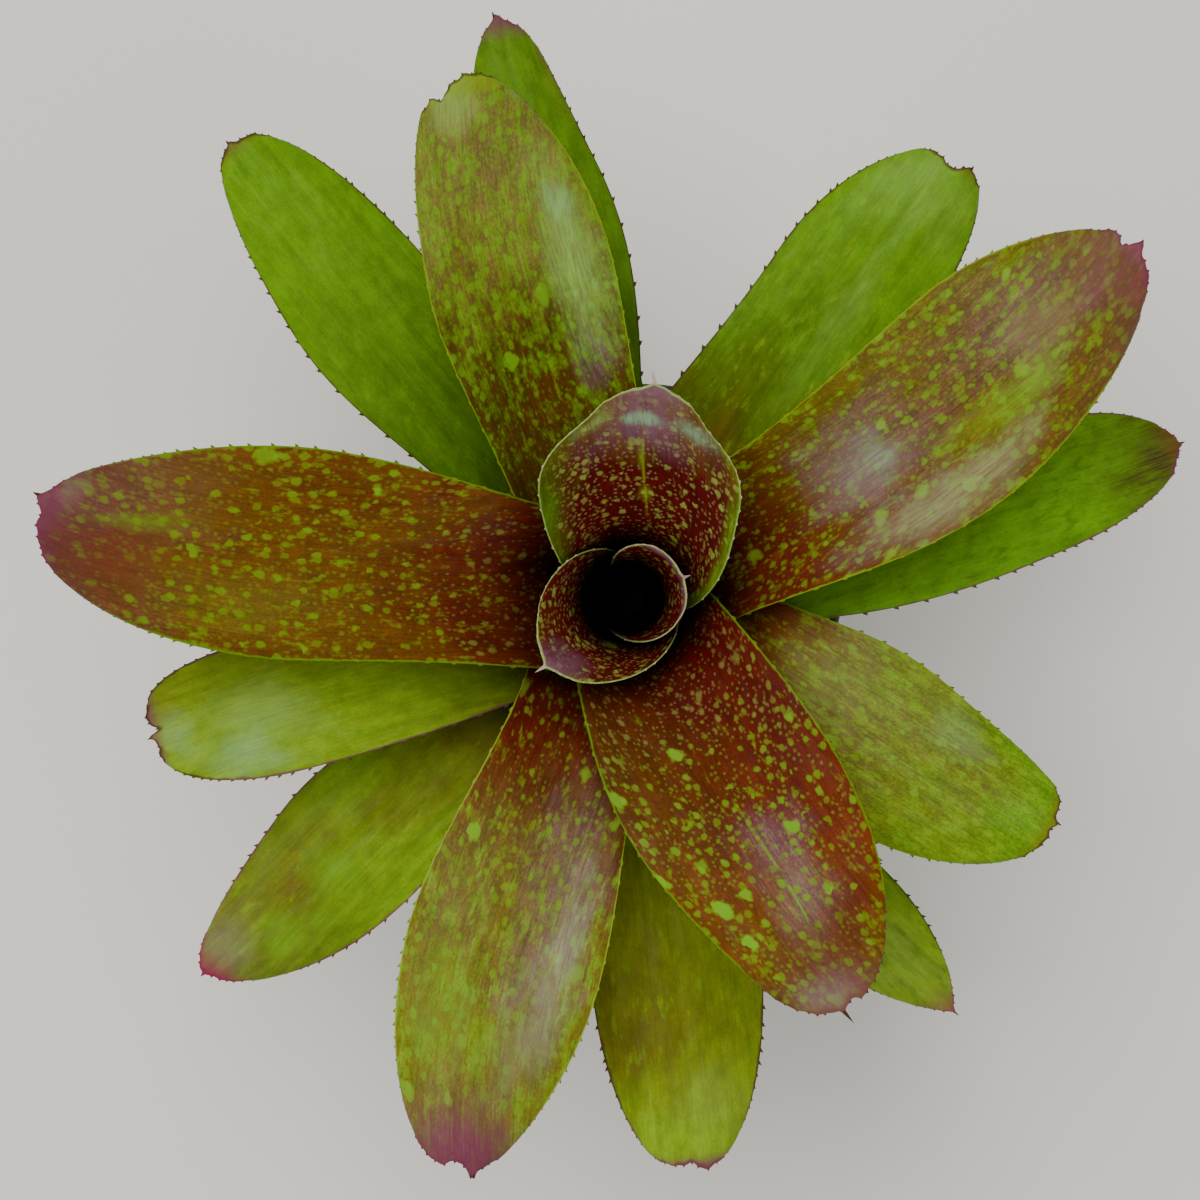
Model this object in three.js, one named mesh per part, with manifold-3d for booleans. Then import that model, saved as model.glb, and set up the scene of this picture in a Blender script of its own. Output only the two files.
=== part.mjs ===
// A neoregelia bromeliad and the round nursery pot that it grows in.
// Millimetres, +Z up, the middle of the pot's flat foot at the origin.
//
// The leaves form a clockwise spiral, each about 137.5 degrees on from the one inside it.
// Every leaf lies on a surface of revolution about the plant's axis, and these surfaces are
// nested: each leaf's midline starts further out on the stem and stays outside and below
// the midline before it, so leaves may overlap in plan as they do on the plant.
import * as THREE from "three";
import { mergeVertices } from "three/addons/utils/BufferGeometryUtils.js";
import ManifoldModule from "manifold-3d";

// ---- pot: a thin-walled tapered pot with a thicker collar ----
const POT_HEIGHT = 95;
const POT_RIM_RADIUS = 57;
const POT_COLLAR_HEIGHT = 15;
const POT_COLLAR_STEP = 1.6;
const POT_FOOT_RADIUS = 39;
const POT_WALL = 1.6;
const POT_FLOOR = 2.2;
const DRAIN_RADIUS = 4;
const DRAIN_RING_RADIUS = 27;
const DRAIN_COUNT = 6;
const ROUND_SEGMENTS = 60;

// ---- potting mix ----
const SOIL_TOP = 84;
const SOIL_RELIEF = 1.4;
const SEAT_GAP = 0.3;

// ---- stem: a foot that stands in the mix, under a low dome that carries the leaves ----
const PLANT_X = -4.6;
const PLANT_Y = -4.2;
const STEM_FOOT_RADIUS = 14;
const STEM_FOOT_Z = 60;
const DOME_TOP_Z = 99;
const DOME_RADIUS = 32;
const DOME_START = 5.2;

// ---- leaves ----
const LEAF_SPACING = 1.38;       // along the dome, from one leaf's base to the next
const LEAF_TURN = 2.9;           // degrees that each base leans further out than the last
const BASE_CHORD = 0.3;
const SHEATH_THICKNESS = 0.8;
const RIB_THICKNESS = 1.2;
const EDGE_THICKNESS = 0.7;
const CHANNEL = 1;               // edges over the midrib in the lower half of the blade
const COLUMNS = 8;               // strips across a leaf
const END_SHARE = 0.5;           // of the blade's width, taken by the last row across the tip
const STATION = 11.5;            // rows of the mesh along a leaf, on average
const TOOTH_LENGTH = 1.3;
const TOOTH_BASE = 1.9;
const TOOTH_LEAN = 1.6;          // how far forward of its start a tooth's point lies
const TOOTH_START = 46;          // the sheath below this has no teeth
const MUCRO_LENGTH = 2.4;
const MUCRO_BASE = 2.2;
const DEG = Math.PI / 180;

// One row per leaf, from the innermost outwards.
// azimuth  degrees from +X, counter-clockwise, of the middle of the blade
// swing    degrees that the tip lies further round than the middle
// length   along the midline, base to tip; tip = length of the rounded end
// width    of the blade; neck = its half-width over the sheath; sheath = half-width below
// square   how full the end is: 1.2 pointed, 2 round, 3 blunt
// bow      sideways bend of the blade's middle, skew = of its tip
// bend     where the midline starts and ends its turn from sheath to blade
// rise     degrees above level of the blade; droop = degrees lost again by the tip
// dent     depth and place (-1 to 1) of the nick in the tip's edge
// roll     drop of the edges below the midrib near the tip; twist = left edge over right
const LEAVES = [
  { azimuth: 16, swing: 1, length: 62, tip: 12, width: 41, neck: 19, sheath: 15, square: 2.6,
    bow: -3, skew: 1, bend: [30, 80], rise: 83, droop: 19, dent: [1, 0.1],
    roll: 0, twist: 0, color: 0x5d2a33 },
  { azimuth: 216, swing: -2, length: 76, tip: 30, width: 56, neck: 20, sheath: 18, square: 1.2,
    bow: 2, skew: 2.5, bend: [30, 75], rise: 68, droop: 20, dent: [1, 0],
    roll: 0, twist: 0, color: 0x6a3036 },
  { azimuth: 89, swing: 4.5, length: 105, tip: 24, width: 58, neck: 21.5, sheath: 21, square: 1.2,
    bow: -4.5, skew: -9.5, bend: [34, 72], rise: 52, droop: 14, dent: [0.5, 0.2],
    roll: 0, twist: 0, color: 0x7b4a4c },
  { azimuth: -61, swing: 4, length: 159, tip: 84, width: 61, neck: 26, sheath: 22, square: 2,
    bow: -3, skew: -11, bend: [30, 66], rise: 37, droop: 16, dent: [2, -0.1],
    roll: 4, twist: 0, color: 0x74303a },
  { azimuth: 180, swing: -7, length: 186, tip: 70, width: 55, neck: 23.5, sheath: 23, square: 1.8,
    bow: -9, skew: -1.5, bend: [27, 63], rise: 32, droop: 18, dent: [3, 0.1],
    roll: 5.5, twist: -3, color: 0x6b3d33 },
  { azimuth: 32, swing: 6.5, length: 185, tip: 58, width: 54, neck: 20.5, sheath: 24, square: 1.5,
    bow: -6, skew: -11, bend: [25, 60], rise: 30, droop: 18, dent: [2, 0],
    roll: 5.5, twist: 3, color: 0x6b4530 },
  { azimuth: -114, swing: 8.5, length: 176, tip: 58, width: 52, neck: 18.5, sheath: 24, square: 1.6,
    bow: 3.5, skew: -4.5, bend: [23, 57], rise: 28, droop: 17, dent: [5.5, 0.1],
    roll: 5, twist: -3, color: 0x6d5a33 },
  { azimuth: 112, swing: -7, length: 158, tip: 62, width: 50, neck: 20, sheath: 25, square: 1.9,
    bow: -2, skew: 9, bend: [21, 54], rise: 26, droop: 16, dent: [5, 0.2],
    roll: 5, twist: 3, color: 0x66603a },
  { azimuth: -32, swing: -1, length: 136, tip: 70, width: 50, neck: 20.5, sheath: 26, square: 2.2,
    bow: 3, skew: 10.5, bend: [19, 51], rise: 23.5, droop: 16, dent: [2.5, 0],
    roll: 5, twist: -2.5, color: 0x6d6a2f },
  { azimuth: 195, swing: 1.5, length: 135, tip: 34, width: 37, neck: 19, sheath: 26, square: 3.3,
    bow: 3, skew: -1.5, bend: [17, 48], rise: 21.5, droop: 15, dent: [1.5, 0.3],
    roll: 3, twist: 2, color: 0x66791f },
  { azimuth: 56, swing: -1, length: 146, tip: 48, width: 45, neck: 25.5, sheath: 27, square: 2.1,
    bow: -3, skew: -6, bend: [14, 45], rise: 19, droop: 15, dent: [5.5, 0.1],
    roll: 5, twist: 3, color: 0x5f8a1c },
  { azimuth: -84, swing: 0, length: 150, tip: 54, width: 47, neck: 20, sheath: 28, square: 2.2,
    bow: 2.5, skew: 1.5, bend: [12, 42], rise: 17, droop: 15, dent: [3, -0.2],
    roll: 4, twist: -2.5, color: 0x64852a },
  { azimuth: 130, swing: -0.5, length: 155, tip: 78, width: 44, neck: 17, sheath: 28, square: 2.1,
    bow: 4, skew: 4, bend: [9, 39], rise: 15, droop: 14, dent: [2, -0.1],
    roll: 4, twist: 1.5, color: 0x5c8a22 },
  { azimuth: 18, swing: 0.5, length: 144, tip: 36, width: 35, neck: 20, sheath: 29, square: 1.8,
    bow: -9, skew: -9, bend: [7, 36], rise: 13, droop: 14, dent: [1.5, -0.3],
    roll: 3, twist: -1.5, color: 0x5a8a24 },
  { azimuth: 223, swing: 1.5, length: 142, tip: 62, width: 44, neck: 19, sheath: 30, square: 1.5,
    bow: -2.5, skew: -8.5, bend: [5, 34], rise: 11, droop: 14, dent: [2.5, 0.1],
    roll: 4, twist: -2, color: 0x5f8a2a },
  { azimuth: 105, swing: 1, length: 147, tip: 80, width: 35, neck: 17, sheath: 31, square: 2.2,
    bow: -9, skew: -11, bend: [3, 31], rise: 9, droop: 13, dent: [2, -0.4],
    roll: 3, twist: 2, color: 0x4c7a20 },
  { azimuth: -53, swing: 3, length: 127, tip: 42, width: 32, neck: 17.5, sheath: 32, square: 1.2,
    bow: -6, skew: -4.5, bend: [1, 29], rise: 7.5, droop: 13, dent: [0.5, 0],
    roll: 2, twist: 2, color: 0x5c8428 },
];

function smooth(from, to, value) {
  const t = Math.min(1, Math.max(0, (value - from) / (to - from)));
  return t * t * (3 - 2 * t);
}

function mix(a, b, t) {
  return a + (b - a) * t;
}

// ---- small mesh helpers ----
function solid(name, points, faces, color, roughness) {
  const geometry = new THREE.BufferGeometry();
  geometry.setAttribute("position", new THREE.Float32BufferAttribute(points.flat(), 3));
  geometry.setIndex(faces.flat());
  geometry.computeVertexNormals();
  const material = new THREE.MeshStandardMaterial({ color, roughness, metalness: 0 });
  const mesh = new THREE.Mesh(geometry, material);
  mesh.name = name;
  return mesh;
}

// Turns a profile of [radius, height] points, which starts and ends on the axis and runs
// with the solid on its left, into a closed skin. shift(radius, angle) may move a point up.
function revolve(profile, shift) {
  const points = [];
  const rings = profile.map(([radius, height], row) => {
    if (radius === 0) {
      points.push([0, 0, height]);
      return Array(ROUND_SEGMENTS + 1).fill(points.length - 1);
    }
    const first = points.length;
    for (let k = 0; k < ROUND_SEGMENTS; k++) {
      const angle = (k / ROUND_SEGMENTS) * 2 * Math.PI;
      const rise = shift ? shift(radius, angle, row) : 0;
      points.push([radius * Math.cos(angle), radius * Math.sin(angle), height + rise]);
    }
    return Array.from({ length: ROUND_SEGMENTS + 1 }, (_, k) => first + (k % ROUND_SEGMENTS));
  });
  const faces = [];
  for (let row = 0; row + 1 < rings.length; row++) {
    const low = rings[row];
    const high = rings[row + 1];
    for (let k = 0; k < ROUND_SEGMENTS; k++) {
      if (low[k] !== low[k + 1]) faces.push([low[k], low[k + 1], high[k + 1]]);
      if (high[k] !== high[k + 1]) faces.push([low[k], high[k + 1], high[k]]);
    }
  }
  return { points, faces };
}

// ---- pot ----
function potRadius(z) {
  return mix(POT_FOOT_RADIUS, POT_RIM_RADIUS - POT_COLLAR_STEP, z / POT_HEIGHT);
}

async function makePot() {
  const manifold = await ManifoldModule();
  manifold.setup();
  const { Manifold, Mesh } = manifold;
  const collarZ = POT_HEIGHT - POT_COLLAR_HEIGHT;
  const skin = revolve([
    [0, 0],
    [POT_FOOT_RADIUS - 1.5, 0],
    [POT_FOOT_RADIUS, 1.5],
    [potRadius(collarZ), collarZ],
    [potRadius(collarZ) + POT_COLLAR_STEP, collarZ + 0.8],
    [POT_RIM_RADIUS - 0.3, POT_HEIGHT - 1],
    [POT_RIM_RADIUS - 0.9, POT_HEIGHT],
    [potRadius(POT_HEIGHT) - POT_WALL + 0.5, POT_HEIGHT],
    [potRadius(POT_HEIGHT) - POT_WALL, POT_HEIGHT - 0.8],
    [potRadius(POT_FLOOR) - POT_WALL, POT_FLOOR],
    [0, POT_FLOOR],
  ]);
  const body = new Manifold(new Mesh({
    numProp: 3,
    vertProperties: new Float32Array(skin.points.flat()),
    triVerts: new Uint32Array(skin.faces.flat()),
  }));
  const drain = Manifold.cylinder(POT_FLOOR + 4, DRAIN_RADIUS, DRAIN_RADIUS, 20);
  let pot = body;
  for (let k = 0; k < DRAIN_COUNT; k++) {
    const angle = (k / DRAIN_COUNT) * 360;
    const hole = drain.translate([DRAIN_RING_RADIUS, 0, -2]).rotate([0, 0, angle]);
    pot = pot.subtract(hole);
  }
  // The booleans give loose corners, so the shared ones are joined again.
  const { vertProperties, triVerts } = pot.getMesh();
  const raw = new THREE.BufferGeometry();
  raw.setAttribute("position", new THREE.BufferAttribute(vertProperties, 3));
  raw.setIndex(new THREE.BufferAttribute(triVerts, 1));
  const geometry = mergeVertices(raw, 1e-4);
  geometry.computeVertexNormals();
  const material = new THREE.MeshStandardMaterial({ color: 0x1f3a2a, roughness: 0.5,
    metalness: 0 });
  const mesh = new THREE.Mesh(geometry, material);
  mesh.name = "pot";
  return mesh;
}

// ---- potting mix: fills the pot, lumpy on top, with a plain hole for the stem's foot ----
function makeSoil() {
  const wall = (z) => potRadius(z) - POT_WALL - SEAT_GAP;
  const hole = STEM_FOOT_RADIUS + SEAT_GAP;
  const rows = [
    [0, POT_FLOOR + SEAT_GAP],
    [wall(POT_FLOOR + SEAT_GAP), POT_FLOOR + SEAT_GAP],
    [wall(SOIL_TOP - 3), SOIL_TOP - 3],
    [wall(SOIL_TOP - 3) - 1, SOIL_TOP - 1.5],
    [47, SOIL_TOP],
    [40, SOIL_TOP],
    [33, SOIL_TOP],
    [27, SOIL_TOP],
    [hole, SOIL_TOP],
    [hole, STEM_FOOT_Z - SEAT_GAP],
    [0, STEM_FOOT_Z - SEAT_GAP],
  ];
  // The rings from the wall to just outside the stem are lumpy; the rest are level.
  const lumps = (radius, angle, row) => {
    if (row < 3 || row > 6) return 0;
    const x = radius * Math.cos(angle);
    const y = radius * Math.sin(angle);
    return SOIL_RELIEF * Math.sin(x * 0.31 + 1.3) * Math.cos(y * 0.27 + 0.4)
      + 0.5 * Math.sin(angle * 23 + radius);
  };
  const skin = revolve(rows, lumps);
  // The plant stands a little off the pot's middle, and the hole for its foot with it.
  skin.points.forEach((point) => {
    const radius = Math.hypot(point[0], point[1]);
    const share = point[2] < POT_FLOOR + 1 ? 0 : 1 - smooth(28, 50, radius);
    point[0] += PLANT_X * share;
    point[1] += PLANT_Y * share;
  });
  return solid("soil", skin.points, skin.faces, 0x3a2a1f, 0.95);
}

// ---- stem ----
function domeHeight(radius) {
  return DOME_TOP_Z - DOME_RADIUS + Math.sqrt(DOME_RADIUS ** 2 - radius ** 2);
}

function makeStem() {
  const last = leafBase(LEAVES.length - 1).radius + 0.6;
  const rows = [
    [0, STEM_FOOT_Z],
    [STEM_FOOT_RADIUS - 0.8, STEM_FOOT_Z],
    [STEM_FOOT_RADIUS, STEM_FOOT_Z + 0.8],
    [STEM_FOOT_RADIUS, SOIL_TOP + 0.4],
    [last, domeHeight(last) - 2.2],
    [last + 0.4, domeHeight(last) - 1],
    [last, domeHeight(last)],
  ];
  for (let radius = last - 5; radius > 2; radius -= 5) rows.push([radius, domeHeight(radius)]);
  rows.push([0, DOME_TOP_Z]);
  const skin = revolve(rows);
  skin.points.forEach((point) => {
    point[0] += PLANT_X;
    point[1] += PLANT_Y;
  });
  return solid("stem", skin.points, skin.faces, 0x7d7448, 0.8);
}

// Where leaf number i leaves the dome, and how steeply: square to the dome, with a small gap.
// The straight strips across a clasping base dip inwards by up to BASE_CHORD.
function leafBase(i) {
  const angle = Math.asin(DOME_START / DOME_RADIUS) + (i * LEAF_SPACING) / DOME_RADIUS;
  const reach = DOME_RADIUS + SEAT_GAP + 0.15;
  return {
    radius: reach * Math.sin(angle) + BASE_CHORD,
    z: DOME_TOP_Z - DOME_RADIUS + reach * Math.cos(angle),
    elevation: 88 - LEAF_TURN * i,
  };
}

// ---- leaf midline: radius, height and elevation at every millimetre of its length ----
function midline(leaf, i) {
  const base = leafBase(i);
  const line = [];
  let radius = base.radius;
  let z = base.z;
  for (let s = 0; s <= leaf.length + 2; s++) {
    const turned = smooth(leaf.bend[0], leaf.bend[1], s);
    const far = s / leaf.length;
    const elevation = mix(base.elevation, leaf.rise, turned) - leaf.droop * far ** 2;
    line.push({ radius, z, elevation: elevation * DEG });
    radius += Math.cos(elevation * DEG);
    z += Math.sin(elevation * DEG);
  }
  return line;
}

function at(line, s) {
  const k = Math.min(line.length - 2, Math.max(0, Math.floor(s)));
  const t = s - k;
  return {
    radius: mix(line[k].radius, line[k + 1].radius, t),
    z: mix(line[k].z, line[k + 1].z, t),
    elevation: mix(line[k].elevation, line[k + 1].elevation, t),
  };
}

function halfWidth(leaf, s) {
  const far = s / leaf.length;
  const lower = mix(leaf.sheath, leaf.neck, smooth(0.06, 0.3, far));
  return mix(lower, leaf.width / 2, smooth(0.26, 0.68, far));
}

// The plan of a leaf. along runs 0 at the base to 1 at the end of the side edges, across
// runs -1 to 1 from edge to edge; gives millimetres along and across the midline.
function plan(leaf, along, across) {
  const corner = Math.sqrt(1 - END_SHARE ** leaf.square);
  const tipStart = leaf.length - leaf.tip;
  const side = along * (tipStart + leaf.tip * corner);
  const near = Math.max(0, side - tipStart) / leaf.tip;
  const half = halfWidth(leaf, side) * (1 - near ** 2) ** (1 / leaf.square);
  const round = Math.sqrt(1 - (Math.abs(across) * END_SHARE) ** leaf.square) - corner;
  const [depth, place] = leaf.dent;
  const nick = depth * Math.exp(-(((across - place) / 0.3) ** 2));
  const s = side + (leaf.tip * round - nick) * (near / corner) ** 1.5;
  const far = s / leaf.length;
  const bowed = leaf.bow * Math.sin(Math.PI * Math.max(0, (far - 0.2) / 0.8));
  const skewed = leaf.skew * Math.max(0, (far - 0.7) / 0.3) ** 2;
  return { s, w: across * half + bowed + skewed };
}

// Height of the leaf over its surface of revolution, and its thickness.
function relief(leaf, s, across) {
  const far = s / leaf.length;
  const lower = smooth(0.25, 0.4, far) * (1 - smooth(0.4, 0.7, far));
  const outer = smooth(0.35, 0.8, far);
  const edges = CHANNEL * lower - leaf.roll * outer;
  return edges * across ** 2 + leaf.twist * 0.5 * across * outer;
}

function thickness(leaf, s, across) {
  const blade = smooth(0.2, 0.4, s / leaf.length);
  const rib = mix(RIB_THICKNESS, EDGE_THICKNESS, Math.min(1, Math.abs(across) * 1.2));
  return mix(SHEATH_THICKNESS, rib, blade);
}

function place(leaf, line, s, w, lift) {
  const { radius, z, elevation } = at(line, s);
  const far = s / leaf.length;
  const angle = (leaf.azimuth + leaf.swing * far ** 3) * DEG + w / radius;
  const out = radius - Math.sin(elevation) * lift;
  return [
    PLANT_X + out * Math.cos(angle),
    PLANT_Y + out * Math.sin(angle),
    z + Math.cos(elevation) * lift,
  ];
}

// ---- one leaf: a closed blade of two like-triangulated faces with a toothed edge ----
function makeLeaf(leaf, i) {
  const line = midline(leaf, i);
  const points = [];
  const faces = [];

  // Adds the upper and the lower point of one spot of the plan.
  const spot = (s, w, across) => {
    const rise = relief(leaf, s, across);
    const half = thickness(leaf, s, across) / 2;
    points.push(place(leaf, line, s, w, rise + half), place(leaf, line, s, w, rise - half));
    return { s, w, across, top: points.length - 2, bottom: points.length - 1 };
  };
  const rows = Math.round(leaf.length / STATION);
  const grid = [];
  for (let row = 0; row <= rows; row++) {
    const u = row / rows;
    const along = 1.3 * u - 0.3 * u * u;
    const spots = [];
    for (let k = 0; k <= COLUMNS; k++) {
      const across = (2 * k) / COLUMNS - 1;
      const { s, w } = plan(leaf, along, across);
      spots.push(spot(s, w, across));
    }
    grid.push(spots);
  }

  const between = (from, to, t) => {
    const middle = { s: mix(from.s, to.s, t), w: mix(from.w, to.w, t) };
    ["top", "bottom"].forEach((face) => {
      const a = points[from[face]];
      const b = points[to[face]];
      points.push(a.map((value, axis) => mix(value, b[axis], t)));
      middle[face] = points.length - 1;
    });
    return middle;
  };
  const wall = (from, to, right) => {
    const ring = right ? [from, to] : [to, from];
    faces.push([ring[0].top, ring[1].top, ring[1].bottom]);
    faces.push([ring[0].top, ring[1].bottom, ring[0].bottom]);
  };
  // A spine closes over the wall from one spot to the next; a joined spine shares its apex
  // and its first side with the one before.
  const spine = (from, to, apex, right, joined) => {
    const ring = [from.top, to.top, to.bottom, from.bottom];
    for (let k = 0; k < (joined ? 3 : 4); k++) {
      const [a, b] = [ring[k], ring[(k + 1) % 4]];
      faces.push(right ? [apex, a, b] : [apex, b, a]);
    }
  };
  // One edge between two grid spots, with a tooth on its first part if it is long enough.
  const edge = (from, to, right, toothed) => {
    const step = Math.hypot(to.s - from.s, to.w - from.w);
    if (!toothed || step < TOOTH_BASE * 1.25) {
      wall(from, to, right);
      return null;
    }
    const extra = between(from, to, TOOTH_BASE / step);
    const ahead = { s: (to.s - from.s) / step, w: (to.w - from.w) / step };
    const side = right ? 1 : -1;
    const s = from.s + ahead.s * TOOTH_LEAN - ahead.w * TOOTH_LENGTH * side;
    const w = from.w + ahead.w * TOOTH_LEAN + ahead.s * TOOTH_LENGTH * side;
    points.push(place(leaf, line, s, w, relief(leaf, s, from.across)));
    spine(from, extra, points.length - 1, right, false);
    wall(extra, to, right);
    return extra;
  };

  const sideExtras = [[], []];
  for (let row = 0; row < rows; row++) {
    [0, COLUMNS].forEach((column, side) => {
      const from = grid[row][column];
      const toothed = from.s > TOOTH_START;
      sideExtras[side][row] = edge(from, grid[row + 1][column], side === 1, toothed);
    });
  }
  const end = grid[rows];
  const middle = COLUMNS / 2;
  const endExtras = [];
  for (let k = 0; k < middle - 1; k++) {
    endExtras[k] = edge(end[k], end[k + 1], false, true);
    const mirror = COLUMNS - k;
    endExtras[mirror - 1] = edge(end[mirror], end[mirror - 1], true, true);
  }
  // The point at the tip stands on both middle edges.
  const peak = end[middle];
  points.push(place(leaf, line, peak.s + MUCRO_LENGTH, peak.w, relief(leaf, peak.s, 0)));
  const apex = points.length - 1;
  [end[middle - 1], end[middle + 1]].forEach((next, side) => {
    const step = Math.hypot(next.s - peak.s, next.w - peak.w);
    const extra = between(peak, next, Math.min(0.5, MUCRO_BASE / 2 / step));
    spine(peak, extra, apex, side === 0, true);
    wall(extra, next, side === 0);
    endExtras[middle - 1 + side] = extra;
  });
  for (let k = 0; k < COLUMNS; k++) wall(grid[0][k], grid[0][k + 1], true);

  // Both faces: each cell is a fan from its corner nearest the base and the midrib.
  for (let row = 0; row < rows; row++) {
    for (let k = 0; k < COLUMNS; k++) {
      const left = k < middle;
      const inner = left ? k + 1 : k;
      const outer = left ? k : k + 1;
      const border = k === 0 ? sideExtras[0][row] : sideExtras[1][row];
      const loop = [grid[row][inner], grid[row][outer]];
      if ((k === 0 || k === COLUMNS - 1) && border) loop.push(border);
      loop.push(grid[row + 1][outer]);
      if (row === rows - 1 && endExtras[k]) loop.push(endExtras[k]);
      loop.push(grid[row + 1][inner]);
      for (let n = 1; n + 1 < loop.length; n++) {
        const [a, b, c] = left ? [loop[0], loop[n], loop[n + 1]] : [loop[0], loop[n + 1], loop[n]];
        faces.push([a.top, b.top, c.top]);
        faces.push([a.bottom, c.bottom, b.bottom]);
      }
    }
  }
  const name = `leaf_${String(i + 1).padStart(2, "0")}`;
  return solid(name, points, faces, leaf.color, 0.45);
}

const plant = new THREE.Group();
plant.name = "neoregelia_in_pot";
plant.add(await makePot());
plant.add(makeSoil());
plant.add(makeStem());
LEAVES.forEach((leaf, i) => plant.add(makeLeaf(leaf, i)));

export default plant;
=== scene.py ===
"""A potted neoregelia bromeliad: seventeen spotted, toothed leaves in a rosette round a
water-holding cup, on a short stem in a dark green nursery pot.

Lengths are in millimetres where they shape a piece and in metres in Blender.
"""

import math
import random
from collections import namedtuple
from contextlib import contextmanager
from functools import partial

import bpy
from bpy.props import FloatProperty, FloatVectorProperty, IntProperty, PointerProperty
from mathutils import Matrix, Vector, noise


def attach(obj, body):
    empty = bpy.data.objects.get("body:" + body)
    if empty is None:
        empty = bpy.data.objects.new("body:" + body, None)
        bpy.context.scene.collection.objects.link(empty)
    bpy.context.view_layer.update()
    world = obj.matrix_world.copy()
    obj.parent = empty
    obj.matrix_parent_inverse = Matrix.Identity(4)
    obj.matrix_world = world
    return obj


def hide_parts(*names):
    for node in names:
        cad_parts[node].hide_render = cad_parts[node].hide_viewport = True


bl_info = {
    "name": "Potted neoregelia",
    "version": (1, 0, 0),
    "blender": (4, 5, 0),
    "location": "View3D > Sidebar > Bromeliad",
    "description": "Builds a spotted neoregelia bromeliad in its nursery pot",
    "category": "Add Mesh",
}

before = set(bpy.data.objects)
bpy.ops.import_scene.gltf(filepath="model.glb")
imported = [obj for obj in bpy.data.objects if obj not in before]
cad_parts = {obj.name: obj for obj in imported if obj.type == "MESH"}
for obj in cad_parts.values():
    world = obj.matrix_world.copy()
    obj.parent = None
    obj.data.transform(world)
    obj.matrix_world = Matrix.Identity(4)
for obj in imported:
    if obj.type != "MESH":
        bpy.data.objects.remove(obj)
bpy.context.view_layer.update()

MM = 0.001
METRE = 1000  # in millimetres: over a pattern's real size it gives the pattern's scale
FULL_TURN = 2 * math.pi

# ---- sizes of the plant, the pot and the mix, in millimetres and degrees ----
PLANT_X, PLANT_Y = -4.6, -4.2  # the plant's axis stands a little off the pot's middle
STEM_FOOT_RADIUS = 14
STEM_FOOT_Z = 60
DOME_TOP_Z = 99
DOME_RADIUS = 32
DOME_START = 5.2  # radius at which the innermost leaf leaves the dome
LEAF_SPACING = 1.38  # from leaf to leaf along the dome
LEAF_RISE, LEAF_TURN = 88, 2.9  # how steeply the first leaf starts, and the change to each
LEAF_SEAT = 0.45  # from the dome to a leaf's base
BASE_CHORD = 0.3  # room for the CAD leaves' flat strips, which dip inwards at the base
SHEATH_THICKNESS = 0.8
RIB_THICKNESS = 1.2
EDGE_THICKNESS = 0.7
CHANNEL = 1  # how much higher the edges stand than the midline, low on the blade
END_SHARE = 0.5  # how much of its rounded end's curve a leaf's width takes in
SOIL_TOP = 84
SEAT_GAP = 0.3  # between pot, mix and stem
POT_FLOOR = 2.2
DRAIN_RADIUS = 4
DRAIN_RING_RADIUS = 27
DRAIN_COUNT = 6
COLLAR_STEP = 1.6  # from the wall out to the collar
# The pot's edges as distances out and up: the recess under the floor from the middle, the
# foot from its outside, the collar's lower edge from the wall, and the rim from its top.
FLOOR_RECESS = ((12, 0.9), (33.5, 0.9), (34.1, 0.6), (34.5, 0))
FOOT_EDGE = ((-1.6, 0), (-0.8, 0.2), (-0.2, 0.8))
COLLAR_EDGE = ((0.9, 0.2), (1.4, 0.7), (1.6, 1.6))
RIM_EDGE = ((-0.7, -4.2), (-0.2, -3.4), (-0.05, -2), (-0.2, -0.9), (-0.6, -0.3), (-1.2, 0),
            (-2, -0.1), (-2.7, -0.4))
SHIFT_FADE = (28, 48)  # how far from the pot's middle the mix's top stops following the plant
SHOULDER_Z = 81  # where the mix rounds off towards its top
LUMP_HEIGHT, LUMP_LIMIT, LUMP_RATE = 1.1, 1.2, 90  # the last one to the metre
LUMP_ROUGHNESS, LUMP_FINENESS, LUMP_OCTAVES = 0.9, 2.1, 5
CHIPS_FROM = 22.5  # from the pot's middle to the innermost bark chips
CHIP_WIDTH, CHIP_HEIGHT, CHIP_CHIPPING = 0.62, 0.3, 0.13  # shares of a chip's length
CHIP_SIZES, SMALL_SHARE = (1.0, 0.75, 0.5, 0.36), 0.7  # a power below 1: more small chips
CHIP_TILT = 0.22  # radians
CHIP_RISE = (0.02, 0.3)  # of a chip's middle over the mix, as shares of its thickness
DOME_MARGIN = 0.6  # how far the stem's dome reaches out past the lowest leaf's base
# The stem's neck: how many leaf scars it has, how far each one goes in, out and down, where
# they begin over the mix and end under the dome's edge, and how uneven they are
SCARS, SCAR_IN, SCAR_OUT, SCAR_DROP = 7, 0.55, 0.35, 0.35
SCARS_OVER_MIX, SCARS_UNDER_DOME = 0.6, 2.2
SCAR_RAGGEDNESS = 0.012
POT_SEGMENTS, MIX_SEGMENTS, STEM_SEGMENTS = 144, 180, 96

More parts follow.
